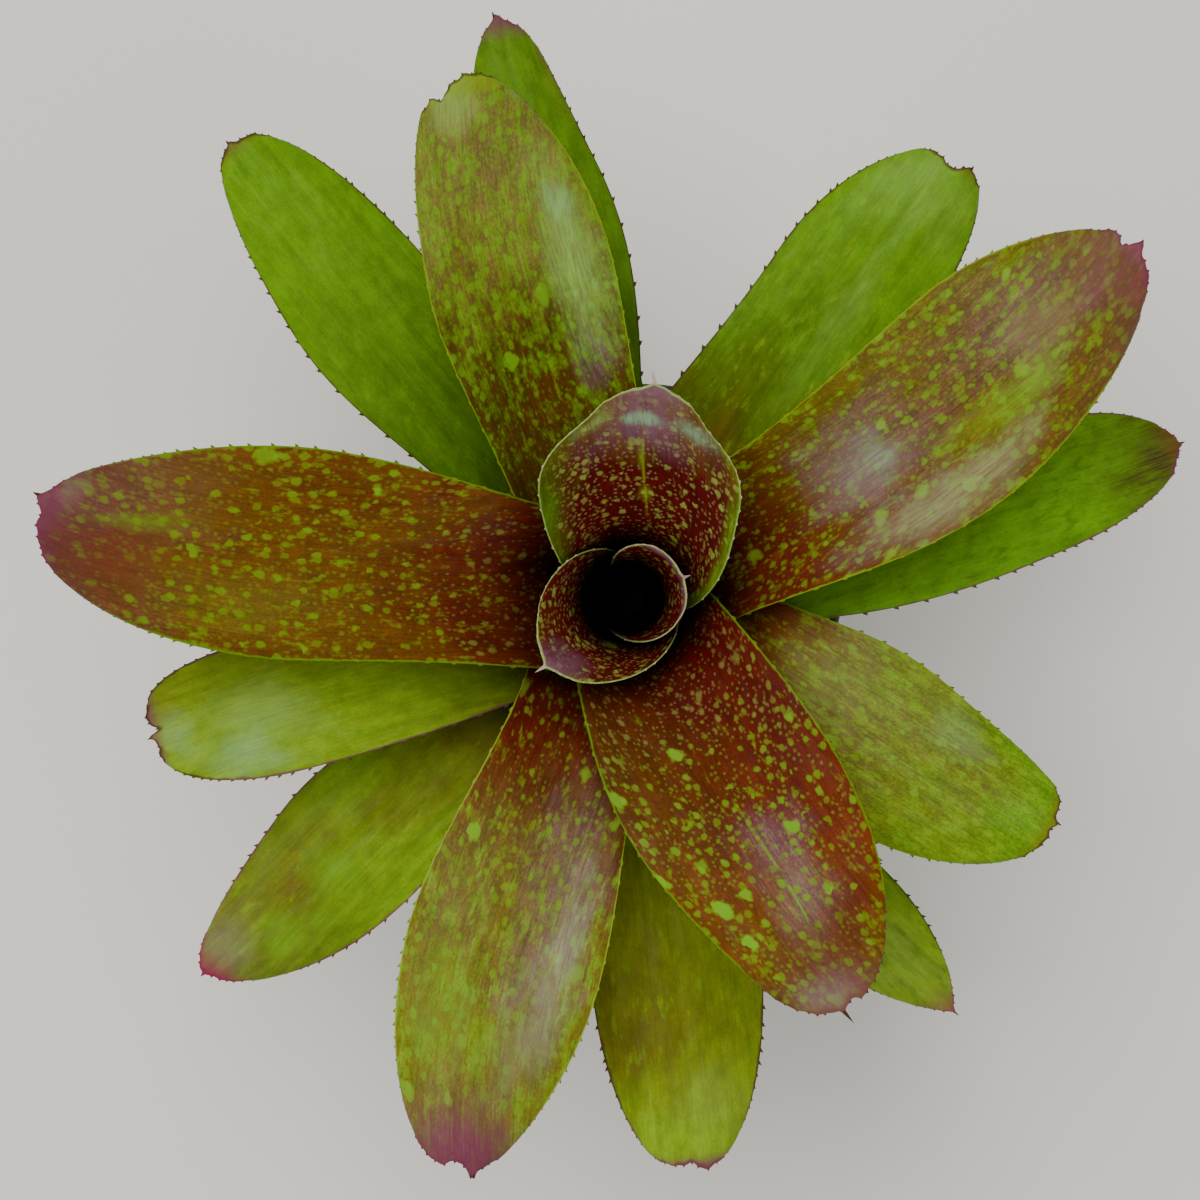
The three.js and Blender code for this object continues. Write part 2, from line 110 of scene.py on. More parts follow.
# azimuth: degrees of the blade's middle; swing: degrees that the tip lies further round;
# length along the midline; tip: length of the rounded end; width of the blade; neck and
# sheath: half-widths over and in the cup; square: how full the end is; bow and skew: sideways
# bend of the middle and the tip; bend: where the midline turns out; rise and droop: degrees;
# dent: depth and place of the nick in the end; roll: drop of the edges; twist: left over right
Leaf = namedtuple(
    "Leaf",
    "azimuth swing length tip width neck sheath square bow skew bend rise droop dent roll twist",
)
LEAVES = [
    Leaf(16, 1, 62, 12, 41, 19, 15, 2.6, -3, 1, (30, 80), 83, 19, (1, 0.1), 0, 0),
    Leaf(216, -2, 76, 30, 56, 20, 18, 1.2, 2, 2.5, (30, 75), 68, 20, (1, 0), 0, 0),
    Leaf(89, 4.5, 105, 24, 58, 21.5, 21, 1.2, -4.5, -9.5, (34, 72), 52, 14, (0.5, 0.2), 0, 0),
    Leaf(-61, 4, 159, 84, 61, 26, 22, 2, -3, -11, (30, 66), 37, 16, (2, -0.1), 4, 0),
    Leaf(180, -7, 186, 70, 55, 23.5, 23, 1.8, -9, -1.5, (27, 63), 32, 18, (3, 0.1), 5.5, -3),
    Leaf(32, 6.5, 185, 58, 54, 20.5, 24, 1.5, -6, -11, (25, 60), 30, 18, (2, 0), 5.5, 3),
    Leaf(-114, 8.5, 176, 58, 52, 18.5, 24, 1.6, 3.5, -4.5, (23, 57), 28, 17, (5.5, 0.1), 5, -3),
    Leaf(112, -7, 158, 62, 50, 20, 25, 1.9, -2, 9, (21, 54), 26, 16, (5, 0.2), 5, 3),
    Leaf(-32, -1, 136, 70, 50, 20.5, 26, 2.2, 3, 10.5, (19, 51), 23.5, 16, (2.5, 0), 5, -2.5),
    Leaf(195, 1.5, 135, 34, 37, 19, 26, 3.3, 3, -1.5, (17, 48), 21.5, 15, (1.5, 0.3), 3, 2),
    Leaf(56, -1, 146, 48, 45, 25.5, 27, 2.1, -3, -6, (14, 45), 19, 15, (5.5, 0.1), 5, 3),
    Leaf(-84, 0, 150, 54, 47, 20, 28, 2.2, 2.5, 1.5, (12, 42), 17, 15, (3, -0.2), 4, -2.5),
    Leaf(130, -0.5, 155, 78, 44, 17, 28, 2.1, 4, 4, (9, 39), 15, 14, (2, -0.1), 4, 1.5),
    Leaf(18, 0.5, 144, 36, 35, 20, 29, 1.8, -9, -9, (7, 36), 13, 14, (1.5, -0.3), 3, -1.5),
    Leaf(223, 1.5, 142, 62, 44, 19, 30, 1.5, -2.5, -8.5, (5, 34), 11, 14, (2.5, 0.1), 4, -2),
    Leaf(105, 1, 147, 80, 35, 17, 31, 2.2, -9, -11, (3, 31), 9, 13, (2, -0.4), 3, 2),
    Leaf(-53, 3, 127, 42, 32, 17.5, 32, 1.2, -6, -4.5, (1, 29), 7.5, 13, (0.5, 0), 2, 2),
]

# ---- colours of the living leaf, and of painted shade and sheen laid on it, as sRGB ----
TISSUE = {
    # painted shade: the near-black of the cup's depth, where little light reaches the leaf bases
    "cup": "#040101",
    "garnet": "#2a0302",
    "crimson": "#500a05",
    "henna": "#702c0c",
    "oxblood": "#4a0c03",
    "brick": "#5a1c04",
    "russet": "#623006",
    "bronze": "#664208",
    "loam": "#4c3806",
    "umber": "#6a4c1c",
    "rosewood": "#6c4434",
    "port": "#5e3028",
    "mauve": "#7c5464",
    "plum": "#80385a",
    "wine": "#702c48",
    "magenta": "#8c2048",
    # The next four, and pale where it lies in the veils, are painted sheen: soft light reflected
    # by the cuticle; mint and pale also colour margins, and mauve veils at mid-blade are painted
    # sheen too.
    "smoke": "#8a7c70",
    "sea": "#84b88c",
    "mint": "#96ba5e",
    "gloss": "#cfcab8",
    "olive": "#64600a",
    "khaki": "#746c1c",
    "drab": "#70692a",
    "pear": "#6c7406",
    "fawn": "#88824a",
    "tan": "#7a6c34",
    "sage": "#6c7e16",
    "moss": "#525804",
    "bottle": "#3a5402",
    "fern": "#486a02",
    "leaf": "#557a02",
    "grass": "#608c02",
    "clover": "#6a9e06",
    "lime": "#7c9a14",
    "citron": "#8ead28",
    "fresh": "#70aa10",
    "spring": "#7aa81e",
    "pale": "#a3ae66",
    "thorn": "#46201a",
    "straw": "#c9a79a",
}

# slot: the record's material slot. skin: tissue colours from base to tip, the two innermost
# starting from the cup's painted shade. spot: dull and bright spots, their strength and how
# far along they turn from tan to green. spots: shares of fine, middling and large spots;
# stretch: along the leaf. blotch: green cover near the base, at the middle and near the tip.
# rim: the margin's colour, its width (mm) and its colour at the tip. tooth: colour and size of
# the spines. tip: colour and share of the length that it takes. cup: where along the leaf the
# painted shade of the cup, a near-black over the base, starts to lift and ends. side: tint and
# strength on one half, positive for the half further round counter-clockwise. flush and
# bloom: veils under the spots and over them, each as place along and across, size
# along and across, colour and strength; they are pigment, except the whitish, grey, grey-mauve
# and bluish-green ones at mid-blade, which are painted sheen, soft light reflected by the
# cuticle.
# midrib: strength of its pale line. end: the beak's height in millimetres and its place, how
# ragged the edge is and the mucro's size. bites: depth in millimetres and place of the nicks
# beside the beak. waist: share by which the blade narrows before its end
Look = namedtuple(
    "Look",
    "slot skin spot spots stretch blotch rim tooth tip cup side flush bloom midrib end bites "
    "waist")


def look(slot, skin, spot=("grass", "lime", 1, 0.4), spots=(0, 0, 0), stretch=1.4,
         blotch=(0.3, 0.4, 0.5), rim=("grass", 0.4, "wine"), tooth=("thorn", 1),
         tip=("plum", 0.05), cup=(0.12, 0.32), side=("olive", 0), flush=(), bloom=(),
         midrib=0, end=(1.6, 0.0, 0.35, 1), bites=(), waist=0):
    """One leaf's colouring and the shape of its end."""
    return Look(slot, skin.split(), spot, spots, stretch, blotch, rim, tooth, tip, cup,
                side, flush, bloom, midrib, end, bites, waist)


CUP_SPOT = ("fawn", "citron", 0.9, 0.45)
RED_SPOT = ("sage", "fresh", 0.95, 0.48)
BROWN_SPOT = ("grass", "spring", 0.78, 0.24)
# Every leaf's base fades into the cup's painted shade, and the two innermost skins start from
# it.
# The whitish, grey, grey-mauve and bluish-green veils at mid-blade are painted sheen.
LOOKS = [
    look("leaf_red", "cup garnet crimson crimson crimson", CUP_SPOT, (0.7, 0.5, 0), 0.8,
         (0, 0, 0), ("pale", 0.2, "pale"), ("straw", 0.4), ("mauve", 0.02), (0.7, 0.98),
         bloom=((1.0, 0.9, 0.08, 0.4, "khaki", 0.5),), end=(0.6, 0.0, 0.1, 2.0)),
    look("leaf_red", "cup garnet crimson crimson brick", CUP_SPOT, (0.9, 0.45, 0.12), 0.8,
         (0, 0, 0.1), ("mint", 0.2, "mint"), ("straw", 0.35), ("mauve", 0.02), (0.56, 0.84),
         bloom=((1.0, 0.1, 0.16, 0.5, "mauve", 0.75), (1.0, 0.7, 0.07, 0.4, "khaki", 0.5),
                (0.98, -0.7, 0.08, 0.3, "khaki", 0.5)),
         end=(0.6, 0.0, 0.2, 2.0)),
    look("leaf_red", "cup garnet crimson crimson umber", CUP_SPOT, (1.0, 0.55, 0.12), 0.85,
         (0, 0, 0.15), ("mint", 0.22, "mint"), ("straw", 0.35), ("mauve", 0.02), (0.34, 0.62),
         bloom=((0.62, -1.0, 0.32, 0.16, "grass", 1.0), (0.7, 1.0, 0.3, 0.33, "fern", 0.95),
                (0.92, 0, 0.14, 0.8, "mauve", 0.85), (0.89, -0.6, 0.035, 0.3, "sea", 0.6),
                (0.9, 0.1, 0.02, 0.3, "sea", 0.7), (0.9, 0.7, 0.04, 0.25, "mint", 0.6),
                (0.78, 0.02, 0.05, 0.05, "lime", 0.6), (0.66, 0.0, 0.03, 0.07, "lime", 0.5)),
         midrib=0.5, end=(0.5, 0.0, 0.2, 1.9), waist=0.2),
    look("leaf_red", "garnet crimson brick henna bronze", RED_SPOT, (1.0, 0.82, 0.3), 1.25,
         (0, 0.05, 0.2), ("grass", 0.5, "rosewood"), ("thorn", 0.8), ("rosewood", 0.025),
         (0.16, 0.42), ("moss", -0.25),
         ((0.8, 0.08, 0.12, 0.42, "smoke", 0.6), (0.7, 0.15, 0.08, 0.3, "mauve", 0.5),
          (0.86, 0.45, 0.07, 0.4, "brick", 0.7), (0.97, 0, 0.09, 1.0, "rosewood", 0.5),
          (0.96, -0.1, 0.05, 0.6, "mauve", 0.4)),
         ((0.9, 0.15, 0.07, 0.6, "brick", 0.65), (0.97, 0, 0.05, 0.9, "rosewood", 0.35),
          (0.99, 0.1, 0.03, 0.3, "plum", 0.4), (0.97, -0.3, 0.04, 0.5, "smoke", 0.4)),
         0.7, (1.2, -0.05, 0.3, 1.8), ((1.5, 0.14),)),
    look("leaf_red", "garnet brick bronze bronze rosewood", ("sage", "fresh", 0.84, 0.36),
         (0.9, 0.85, 0.2), 1.6,
         (0.05, 0.2, 0.1), ("grass", 0.5, "wine"), ("thorn", 0.8), ("wine", 0.02),
         (0.1, 0.42), ("bronze", 0.4),
         ((1.0, 0, 0.1, 1.6, "rosewood", 0.8), (0.86, -0.5, 0.12, 0.5, "rosewood", 0.5),
          (0.62, -0.7, 0.16, 0.5, "crimson", 0.4), (0.7, 0.6, 0.16, 0.4, "khaki", 0.45),
          (0.44, 0.4, 0.12, 0.5, "crimson", 0.5)),
         ((0.72, 0.45, 0.2, 0.4, "khaki", 0.2), (0.8, -0.6, 0.14, 0.9, "umber", 0.4),
          (0.97, -0.1, 0.13, 1.6, "port", 0.95), (0.88, 0.3, 0.08, 0.6, "henna", 0.5),
          (1.0, -0.4, 0.06, 0.7, "wine", 0.5), (0.96, -0.5, 0.04, 0.4, "smoke", 0.4),
          (0.85, -0.2, 0.1, 0.12, "grass", 0.55)),
         0, (1.4, -0.4, 0.3, 0.8), ((1.0, -0.16),)),
    look("leaf_brown", "garnet brick bronze umber umber", BROWN_SPOT, (0.9, 0.84, 0.24), 1.4,
         (0.2, 0.34, 0.4), ("lime", 0.4, "wine"), ("thorn", 0.8), ("plum", 0.012), (0.1, 0.3),
         ("olive", 0.6),
         ((0.52, 0.1, 0.13, 0.7, "mauve", 0.65), (0.6, 0.2, 0.2, 0.7, "rosewood", 0.4),
          (0.82, 0.2, 0.14, 0.7, "mauve", 0.5), (0.74, 0.6, 0.2, 0.4, "rosewood", 0.5),
          (0.97, 0, 0.1, 1.2, "rosewood", 0.7)),
         ((0.5, 0.05, 0.1, 0.5, "smoke", 0.6), (0.53, 0.1, 0.03, 0.3, "sea", 0.3),
          (0.58, -0.7, 0.16, 0.35, "smoke", 0.6), (0.62, -0.7, 0.14, 0.25, "pale", 0.4),
          (0.73, -0.3, 0.13, 0.22, "spring", 0.6), (0.84, 0.0, 0.08, 0.4, "fawn", 0.5),
          (0.96, 0, 0.12, 1.4, "rosewood", 0.9), (0.9, -0.1, 0.06, 0.3, "plum", 0.4),
          (0.98, -0.6, 0.05, 0.4, "magenta", 0.4)),
         0, (1.2, 0.06, 0.4, 0.5), ((2.6, 0.28), (0.9, -0.14))),
    look("leaf_brown", "oxblood brick umber khaki khaki", ("sage", "spring", 0.86, 0.2),
         (0.6, 0.78, 0.34), 1.5, (0.1, 0.52, 0.6), ("citron", 0.35, "wine"), ("thorn", 0.8),
         ("wine", 0.05), (0.1, 0.34),
         flush=((0.55, 0.4, 0.22, 0.5, "smoke", 0.5), (0.66, 0.35, 0.2, 0.35, "rosewood", 0.45),
                (0.6, -0.5, 0.16, 0.6, "drab", 0.8), (0.97, 0, 0.1, 1.0, "wine", 0.75)),
         bloom=((0.66, 0.6, 0.16, 0.25, "gloss", 0.3), (0.78, 0.45, 0.12, 0.35, "smoke", 0.5),
                (0.74, -0.5, 0.06, 0.3, "fresh", 0.4), (0.82, -0.6, 0.05, 0.3, "fresh", 0.4),
                (0.8, 0.0, 0.04, 0.25, "spring", 0.4), (0.97, 0.1, 0.12, 1.1, "rosewood", 1.0),
                (0.96, 0.1, 0.06, 0.7, "plum", 0.7)),
         end=(3.4, 0.4, 0.3, 0.4), bites=((0.9, 0.0),)),
    look("leaf_brown", "oxblood loam loam drab drab", ("grass", "fresh", 0.68, 0.3),
         (0.8, 0.8, 0.14), 1.5, (0.3, 0.68, 0.56), ("lime", 0.35, "thorn"), ("thorn", 0.8),
         ("lime", 0.02), (0.08, 0.38),
         flush=((0.86, 0.0, 0.07, 0.7, "rosewood", 0.5), (0.48, -0.6, 0.08, 0.3, "mauve", 0.6),
                (0.44, 0.1, 0.08, 0.4, "russet", 0.6), (0.66, 0.3, 0.14, 0.5, "umber", 0.4)),
         bloom=((0.97, 0.3, 0.06, 0.6, "grass", 0.7), (0.95, 0.2, 0.05, 0.6, "pale", 0.5),
                (0.64, -0.6, 0.18, 0.35, "mint", 0.65), (0.75, -0.6, 0.04, 0.2, "sea", 0.3)),
         end=(1.2, 0.14, 0.5, 0.5), bites=((2.0, 0.42),)),
    look("leaf_brown", "oxblood russet drab sage grass", ("lime", "spring", 0.7, 0.25),
         (0.7, 0.6, 0.1), 1.5, (0.3, 0.6, 0.5), ("grass", 0.35, "thorn"), ("thorn", 0.8),
         ("khaki", 0.02), (0.08, 0.28),
         flush=((0.6, -0.2, 0.16, 0.4, "umber", 0.5), (0.8, 0.4, 0.12, 0.5, "umber", 0.6)),
         bloom=((0.45, 0.3, 0.14, 0.6, "mint", 0.2), (0.76, 0.6, 0.08, 0.3, "sea", 0.2)),
         end=(1.4, 0.1, 0.4, 0.6), bites=((1.1, 0.32),)),
    look("leaf_green", "umber sage lime lime lime", blotch=(0.35, 0.45, 0.3),
         rim=("wine", 0.5, "thorn"), tip=("wine", 0.008), cup=(0.1, 0.36), side=("umber", -0.25),
         flush=((1.0, -0.5, 0.08, 0.6, "umber", 0.5),),
         bloom=((0.78, 0.1, 0.14, 0.7, "mint", 0.5), (0.86, 0.6, 0.1, 0.5, "sea", 0.4),
                (0.95, 0.1, 0.05, 0.5, "sea", 0.3)),
         end=(1.6, 0.12, 0.3, 0.5), bites=((2.0, -0.08),)),
    look("leaf_green", "umber moss leaf grass grass", blotch=(0.2, 0.3, 0.3),
         rim=("thorn", 0.42, "thorn"), tip=("umber", 0.008), cup=(0.1, 0.3),
         bloom=((0.66, -0.1, 0.34, 0.25, "mint", 0.2), (0.92, 0.1, 0.12, 0.9, "mint", 0.25)),
         end=(1.4, -0.28, 0.3, 0.5)),
    look("leaf_green", "pear pear pear olive lime", blotch=(0, 0.2, 0.3),
         rim=("thorn", 0.5, "wine"), tip=("wine", 0.01), cup=(0.02, 0.1), side=("lime", 0.4),
         bloom=((0.88, 0.3, 0.1, 0.6, "pale", 0.15), (1.0, 0.1, 0.03, 1.2, "wine", 0.6)),
         end=(0.6, 0.3, 0.3, 0.3), bites=((0.9, 0.0),)),
    look("leaf_green", "bottle fern leaf grass grass", ("leaf", "grass", 1, 0.4),
         blotch=(0.2, 0.3, 0.3), rim=("thorn", 0.42, "thorn"), tip=("umber", 0.01),
         cup=(0.1, 0.3), end=(1.0, 0.1, 0.3, 0.5)),
    look("leaf_green", "grass clover clover clover grass", ("fern", "leaf", 1, 0.4),
         blotch=(0.2, 0.3, 0.3), rim=("wine", 0.4, "wine"), tip=("umber", 0.02),
         cup=(0.1, 0.26), bloom=((1.0, 0.0, 0.16, 1.8, "thorn", 1.0),),
         end=(1.4, 0.1, 0.3, 0.6)),
    look("leaf_green", "moss olive lime sage drab", blotch=(0, 0.2, 0.3),
         rim=("wine", 0.6, "magenta"), tip=("magenta", 0.03), cup=(0.1, 0.3),
         side=("grass", 0.35),
         flush=((0.7, -0.3, 0.14, 0.5, "umber", 0.6), (0.5, 0.1, 0.1, 0.5, "umber", 0.35),
                (0.76, 0.0, 0.05, 0.3, "umber", 0.5)),
         bloom=((0.67, 0.05, 0.05, 0.4, "fresh", 0.8), (0.82, 0.3, 0.07, 0.4, "fresh", 0.8),
                (0.76, 0.4, 0.04, 0.25, "spring", 0.6),
                (0.93, -0.2, 0.06, 0.8, "smoke", 0.4),
                (1.0, 0.4, 0.06, 0.7, "magenta", 1.0)),
         end=(0.8, 0.0, 0.3, 0.5)),
    look("leaf_green", "bottle fern leaf leaf leaf", ("fern", "leaf", 1, 0.4),
         rim=("thorn", 0.42, "wine"), tip=("wine", 0.02), cup=(0.1, 0.34),
         bloom=((0.95, -1.0, 0.14, 0.3, "rosewood", 0.7),), end=(1.8, 0.2, 0.3, 0.8)),
    look("leaf_green", "fern leaf grass lime lime", ("fern", "grass", 1, 0.4),
         rim=("thorn", 0.4, "wine"), tip=("magenta", 0.035), cup=(0.1, 0.34),
         bloom=((0.8, 0, 0.2, 1.0, "pale", 0.25),),
         end=(1.8, 0.0, 0.2, 0.8)),
]

# ---- how finely the leaves are made, and the shapes that they share ----
ROW_MM, COLUMNS = 1.35, 36
ROW_CROWDING, EDGE_CROWDING = 0.3, 1.2  # rows crowd towards the tip, columns to the edges
# Where each part of the form sets in, as shares of the leaf's length: sheath to neck and neck
# to blade, the channel and its end, the rolled edges, the midrib's groove and the thick blade
NECK_ZONE, BLADE_ZONE = (0.06, 0.3), (0.26, 0.68)
CHANNEL_ZONE, FLAT_ZONE = (0.25, 0.4), (0.4, 0.7)
ROLL_ZONE, GROOVE_ZONE, BODY_ZONE = (0.35, 0.8), (0.3, 0.5), (0.2, 0.4)
BOW_FROM, SKEW_FROM = 0.2, 0.7
GROOVE_DEPTH, GROOVE_WIDTH = 0.35, 0.07
# Soft waves of the edges: their height, radians to a millimetre, from leaf to leaf and across
WAVE_HEIGHT, WAVE_RATE, WAVE_STEP, WAVE_SLANT = 0.45, 0.16, 2.1, 1.3
RAGGED_HEIGHT, RAGGED_RATES = 0.5, (11, 23)  # the uneven end: two waves across it
RIB_SLOPE = 1.2  # how fast the blade thins from the midrib
END_REACH, BEAK_REACH = 1.5, 8  # powers: how close to the end its roundness and beak stay
SPACING_ZONE, SPACING_SPREAD = (0.4, 0.95), (0.7, 1.3)  # teeth crowd up here, by uneven steps
LEAST_FACE = 0.6  # a shorter face of the rim grows no tooth
BARE_END = 4  # faces about the mucro without teeth
MUCRO_TINT, FOOT_TINT = 0.8, 0.4  # how much of the teeth's colour the mucro and the feet take
TOOTH_START = 44  # millimetres along the leaf
TOOTH_NECK, TOOTH_TAPER = 0.28, 0.13  # height and taper of a tooth's swollen foot
TOOTH_LEAN, FORWARD_LEAN = 0.55, 0.3  # outwards, and the share of it towards the tip
FINE_FROM, FINE_SHARE = 0.84, 0.5  # how far along the teeth turn fine, and their size there
BEAK_WIDTH, BITE_WIDTH = 0.09, 0.12  # across the blade, of the point and the nicks beside it
DENT_SHARE, DENT_WIDTH = 0.7, 0.42  # of the CAD nick's depth, and across the blade
WAIST, WAIST_LENGTH = 0.915, 0.045  # how far along a waisted leaf narrows, and over how much
MARGIN, MARGIN_THINNESS = 2.2, 0.45  # the outermost millimetres, and their least thickness
SKIN_STOPS = (0.14, 0.34, 0.54, 0.76, 0.96)  # where along the leaf its five colours lie
BLOTCH_LEAST, BLOTCH_SPAN = 0.68, 0.32  # noise level over which tissue is green
BLOTCH_STRENGTH = 0.62
GREEN_CRISPNESS = 0.45  # of the grain of green leaves, beside red and brown ones
# Fine, middling and large spots: cell, least and largest radius, raggedness and soft edge in
# millimetres, then how bright and how strong
SPOTS = (
    (1.6, 0.28, 0.46, 0.4, 0.16, 0.0, 0.7),
    (3.0, 0.46, 1.0, 1.1, 0.24, 0.5, 0.88),
    (9, 0.9, 2.1, 3.2, 0.45, 1.0, 1.0),
)
MUCRO_STEPS = ((0.25, 0.55), (0.8, 0.7), (1.3, 0.12))  # how far out, and how much narrower
TOOTH, FINE_TOOTH, MUCRO = 1, 2, 3  # marks on the faces that they grow from


def smooth(start, end, value):
    """0 before start, 1 after end, and an even S between them."""
    t = min(1.0, max(0.0, (value - start) / (end - start)))
    return t * t * (3 - 2 * t)


def mix(a, b, t):
    """The value t of the way from a to b."""
    return a + (b - a) * t


def hex_colour(code):
    """An sRGB hex colour as the linear RGBA that Blender's sockets hold."""
    parts = [int(code[k : k + 2], 16) / 255 for k in (1, 3, 5)]
    linear = [c / 12.92 if c <= 0.04045 else ((c + 0.055) / 1.055) ** 2.4 for c in parts]
    return (*linear, 1.0)


def tissue(name):
    """The linear RGBA of a tissue colour."""
    return hex_colour(TISSUE[name])


# ---- the user's settings ----
def size_setting(name, description, default):
    """A length in metres that the user can change."""
    return FloatProperty(name=name, description=description, default=default,
                         subtype="DISTANCE", unit="LENGTH")


def colour_setting(name, description, code):
    """A colour that the user can change."""
    return FloatVectorProperty(name=name, description=description, default=hex_colour(code),
                               subtype="COLOR", size=4, min=0, max=1)


class BromeliadPotSettings(bpy.types.PropertyGroup):
    """Sizes and colour of the nursery pot."""

    height: size_setting("Height", "From the foot to the rim", 0.095)
    rim_radius: size_setting("Rim radius", "Outside, over the collar", 0.057)
    foot_radius: size_setting("Foot radius", "Outside, at the foot", 0.039)
    collar_height: size_setting("Collar height", "Of the thicker band under the rim", 0.015)
    wall: size_setting("Wall", "Thickness of the moulded wall", 0.0016)
    colour: colour_setting("Plastic", "Colour of the moulded plastic", "#14251b")


class BromeliadMixSettings(bpy.types.PropertyGroup):
    """The potting mix."""

    chips: IntProperty(
        name="Bark chips", description="How many lie on the mix", default=230, min=0)
    chip_size: size_setting("Chip size", "Length of the largest chips", 0.0075)
    colour: colour_setting("Peat", "Colour of the fine mix", "#2a1c12")


class BromeliadLeafSettings(bpy.types.PropertyGroup):
    """What all the leaves share."""

    tooth_length: size_setting("Tooth length", "Of the marginal teeth", 0.00075)
    tooth_spacing: size_setting(
        "Tooth spacing", "Between teeth at the middle of a blade", 0.0076)
    tip_spacing: size_setting("Spacing at the tip", "Between teeth near the tip", 0.0021)
    underside: colour_setting(
        "Underside", "Scurfy grey-green of the lower faces", "#5f7a3c")


class BromeliadStageSettings(bpy.types.PropertyGroup):
    """Floor, lights and camera."""

    camera_height: size_setting(
        "Camera height", "Over the floor, looking straight down", 0.9)
    lens: FloatProperty(
        name="Lens", description="Focal length", default=84.8, unit="CAMERA")
    softbox: FloatProperty(
        name="Softbox", description="Power of the large overhead light", default=29,
        unit="POWER")
    floor_colour: colour_setting("Floor", "Colour of the plain floor", "#f0ebe3")


# ---- small modelling helpers ----
def set_mode(mode):
    """Switches the active object to OBJECT or EDIT mode."""
    bpy.ops.object.mode_set(mode=mode)


def deselect():
    """Leaves edit mode and deselects every object, because operators act on all selected."""
    if bpy.context.object and bpy.context.object.mode != "OBJECT":
        set_mode("OBJECT")
    bpy.ops.object.select_all(action="DESELECT")


def only(piece):
    """Makes piece the one selected and active object."""
    deselect()
    piece.select_set(True)
    bpy.context.view_layer.objects.active = piece


@contextmanager
def editing(piece):
    """Edit mode on that piece, with all of it selected."""
    only(piece)
    set_mode("EDIT")
    bpy.ops.mesh.select_all(action="SELECT")
    yield
    set_mode("OBJECT")


def added(name):
    """The object that an operator just added, under this name."""
    piece = bpy.context.object
    piece.name = piece.data.name = name
    return piece


def apply_place():
    """Puts the selected object's place, turn and scale into its mesh, as CAD nodes have it."""
    bpy.ops.object.transform_apply(location=True, rotation=True, scale=True)


def settle(piece, angle):
    """Puts the piece's place into its mesh and shades it smooth up to that angle."""
    only(piece)
    apply_place()
    bpy.ops.object.shade_smooth_by_angle(angle=math.radians(angle))


def paint(piece, *materials):
    """Gives the piece these materials and no others."""
    piece.data.materials.clear()
    for material in materials:
        piece.data.materials.append(material)


def join(parts, name):
    """One piece of that name out of several."""
    deselect()
    for part in parts:
        part.select_set(True)
    bpy.context.view_layer.objects.active = parts[0]
    bpy.ops.object.join()
    parts[0].name = parts[0].data.name = name
    return parts[0]


def apply_modifier(piece, name, kind, **settings):
    """Adds one modifier with its settings and applies it."""
    modifier = piece.modifiers.new(name, kind)
    for key, value in settings.items():
        setattr(modifier, key, value)
    only(piece)
    bpy.ops.object.modifier_apply(modifier=modifier.name)


def turned(name, profile, segments):
    """A closed round body, made as on a lathe by extruding one disc along a profile.

    profile is (radius, height) pairs in metres; it starts and ends with a level disc.
    """
    deselect()
    radius, height = profile[0]
    bpy.ops.mesh.primitive_circle_add(
        vertices=segments, radius=radius, fill_type="NGON", location=(0, 0, height))
    body = added(name)
    apply_place()
    with editing(body):
        for (was, low), (now, high) in zip(profile, profile[1:]):
            bpy.ops.mesh.extrude_region_move(
                TRANSFORM_OT_translate={"value": (0, 0, high - low)})
            bpy.ops.transform.resize(
                value=(now / was, now / was, 1), center_override=(0, 0, high))
        bpy.ops.mesh.select_all(action="SELECT")
        bpy.ops.mesh.normals_make_consistent(inside=False)
    return body


# ---- nodes ----
# A kind of node: its type, the inputs that its values fill in order, the output that it
# gives, and its settings.
Kind = namedtuple("Kind", "type inputs out settings", defaults=(0, {}))
PLACE = Kind("ShaderNodeTexCoord", (), "Object")
UV = Kind("ShaderNodeUVMap", ())
ATTRIBUTE = Kind("ShaderNodeAttribute", (), "Fac")
SPLIT = Kind("ShaderNodeSeparateXYZ", (0,), "X")
SPLIT_COLOUR = Kind("ShaderNodeSeparateColor", (0,), "Red")
MAPPING = Kind("ShaderNodeMapping", ("Vector", "Scale", "Location", "Rotation"))
NOISE = Kind("ShaderNodeTexNoise", ("Vector", "Scale", "Detail", "Roughness"))
FLAT_NOISE = NOISE._replace(settings={"noise_dimensions": "2D"})
CELLS = Kind("ShaderNodeTexVoronoi", ("Vector", "Scale"), "Distance")
RANGE = Kind("ShaderNodeMapRange", ("Value", "From Min", "From Max", "To Min", "To Max"))
EASE = RANGE._replace(settings={"interpolation_type": "SMOOTHSTEP"})
RAMP = Kind("ShaderNodeValToRGB", (0,))
BLEND = Kind("ShaderNodeMix", (0, 6, 7), 2, {"data_type": "RGBA"})
TINT = BLEND._replace(settings={"data_type": "RGBA", "blend_type": "MULTIPLY"})
AVERAGE = Kind("ShaderNodeMix", (0, 2, 3), 0, {"data_type": "FLOAT"})
BUMP = Kind("ShaderNodeBump", ("Height", "Strength", "Distance", "Normal"))
MULTIPLY, MULTIPLY_ADD, ADD, SUBTRACT, DIVIDE, GREATER_THAN, ABSOLUTE = (
    Kind("ShaderNodeMath", (0, 1, 2), 0, {"operation": operation}) for operation in
    "MULTIPLY MULTIPLY_ADD ADD SUBTRACT DIVIDE GREATER_THAN ABSOLUTE".split())
VECTOR_MULTIPLY_ADD, VECTOR_SUBTRACT = (
    Kind("ShaderNodeVectorMath", (0, 1, 2), 0, {"operation": operation})
    for operation in ("MULTIPLY_ADD", "SUBTRACT"))
LENGTH = Kind("ShaderNodeVectorMath", (0,), "Value", {"operation": "LENGTH"})


def fill(node, values):
    """Links or sets a node's inputs."""
    for key, value in values.items():
        if isinstance(value, bpy.types.NodeSocket):
            node.id_data.links.new(value, node.inputs[key])
        else:
            node.inputs[key].default_value = value


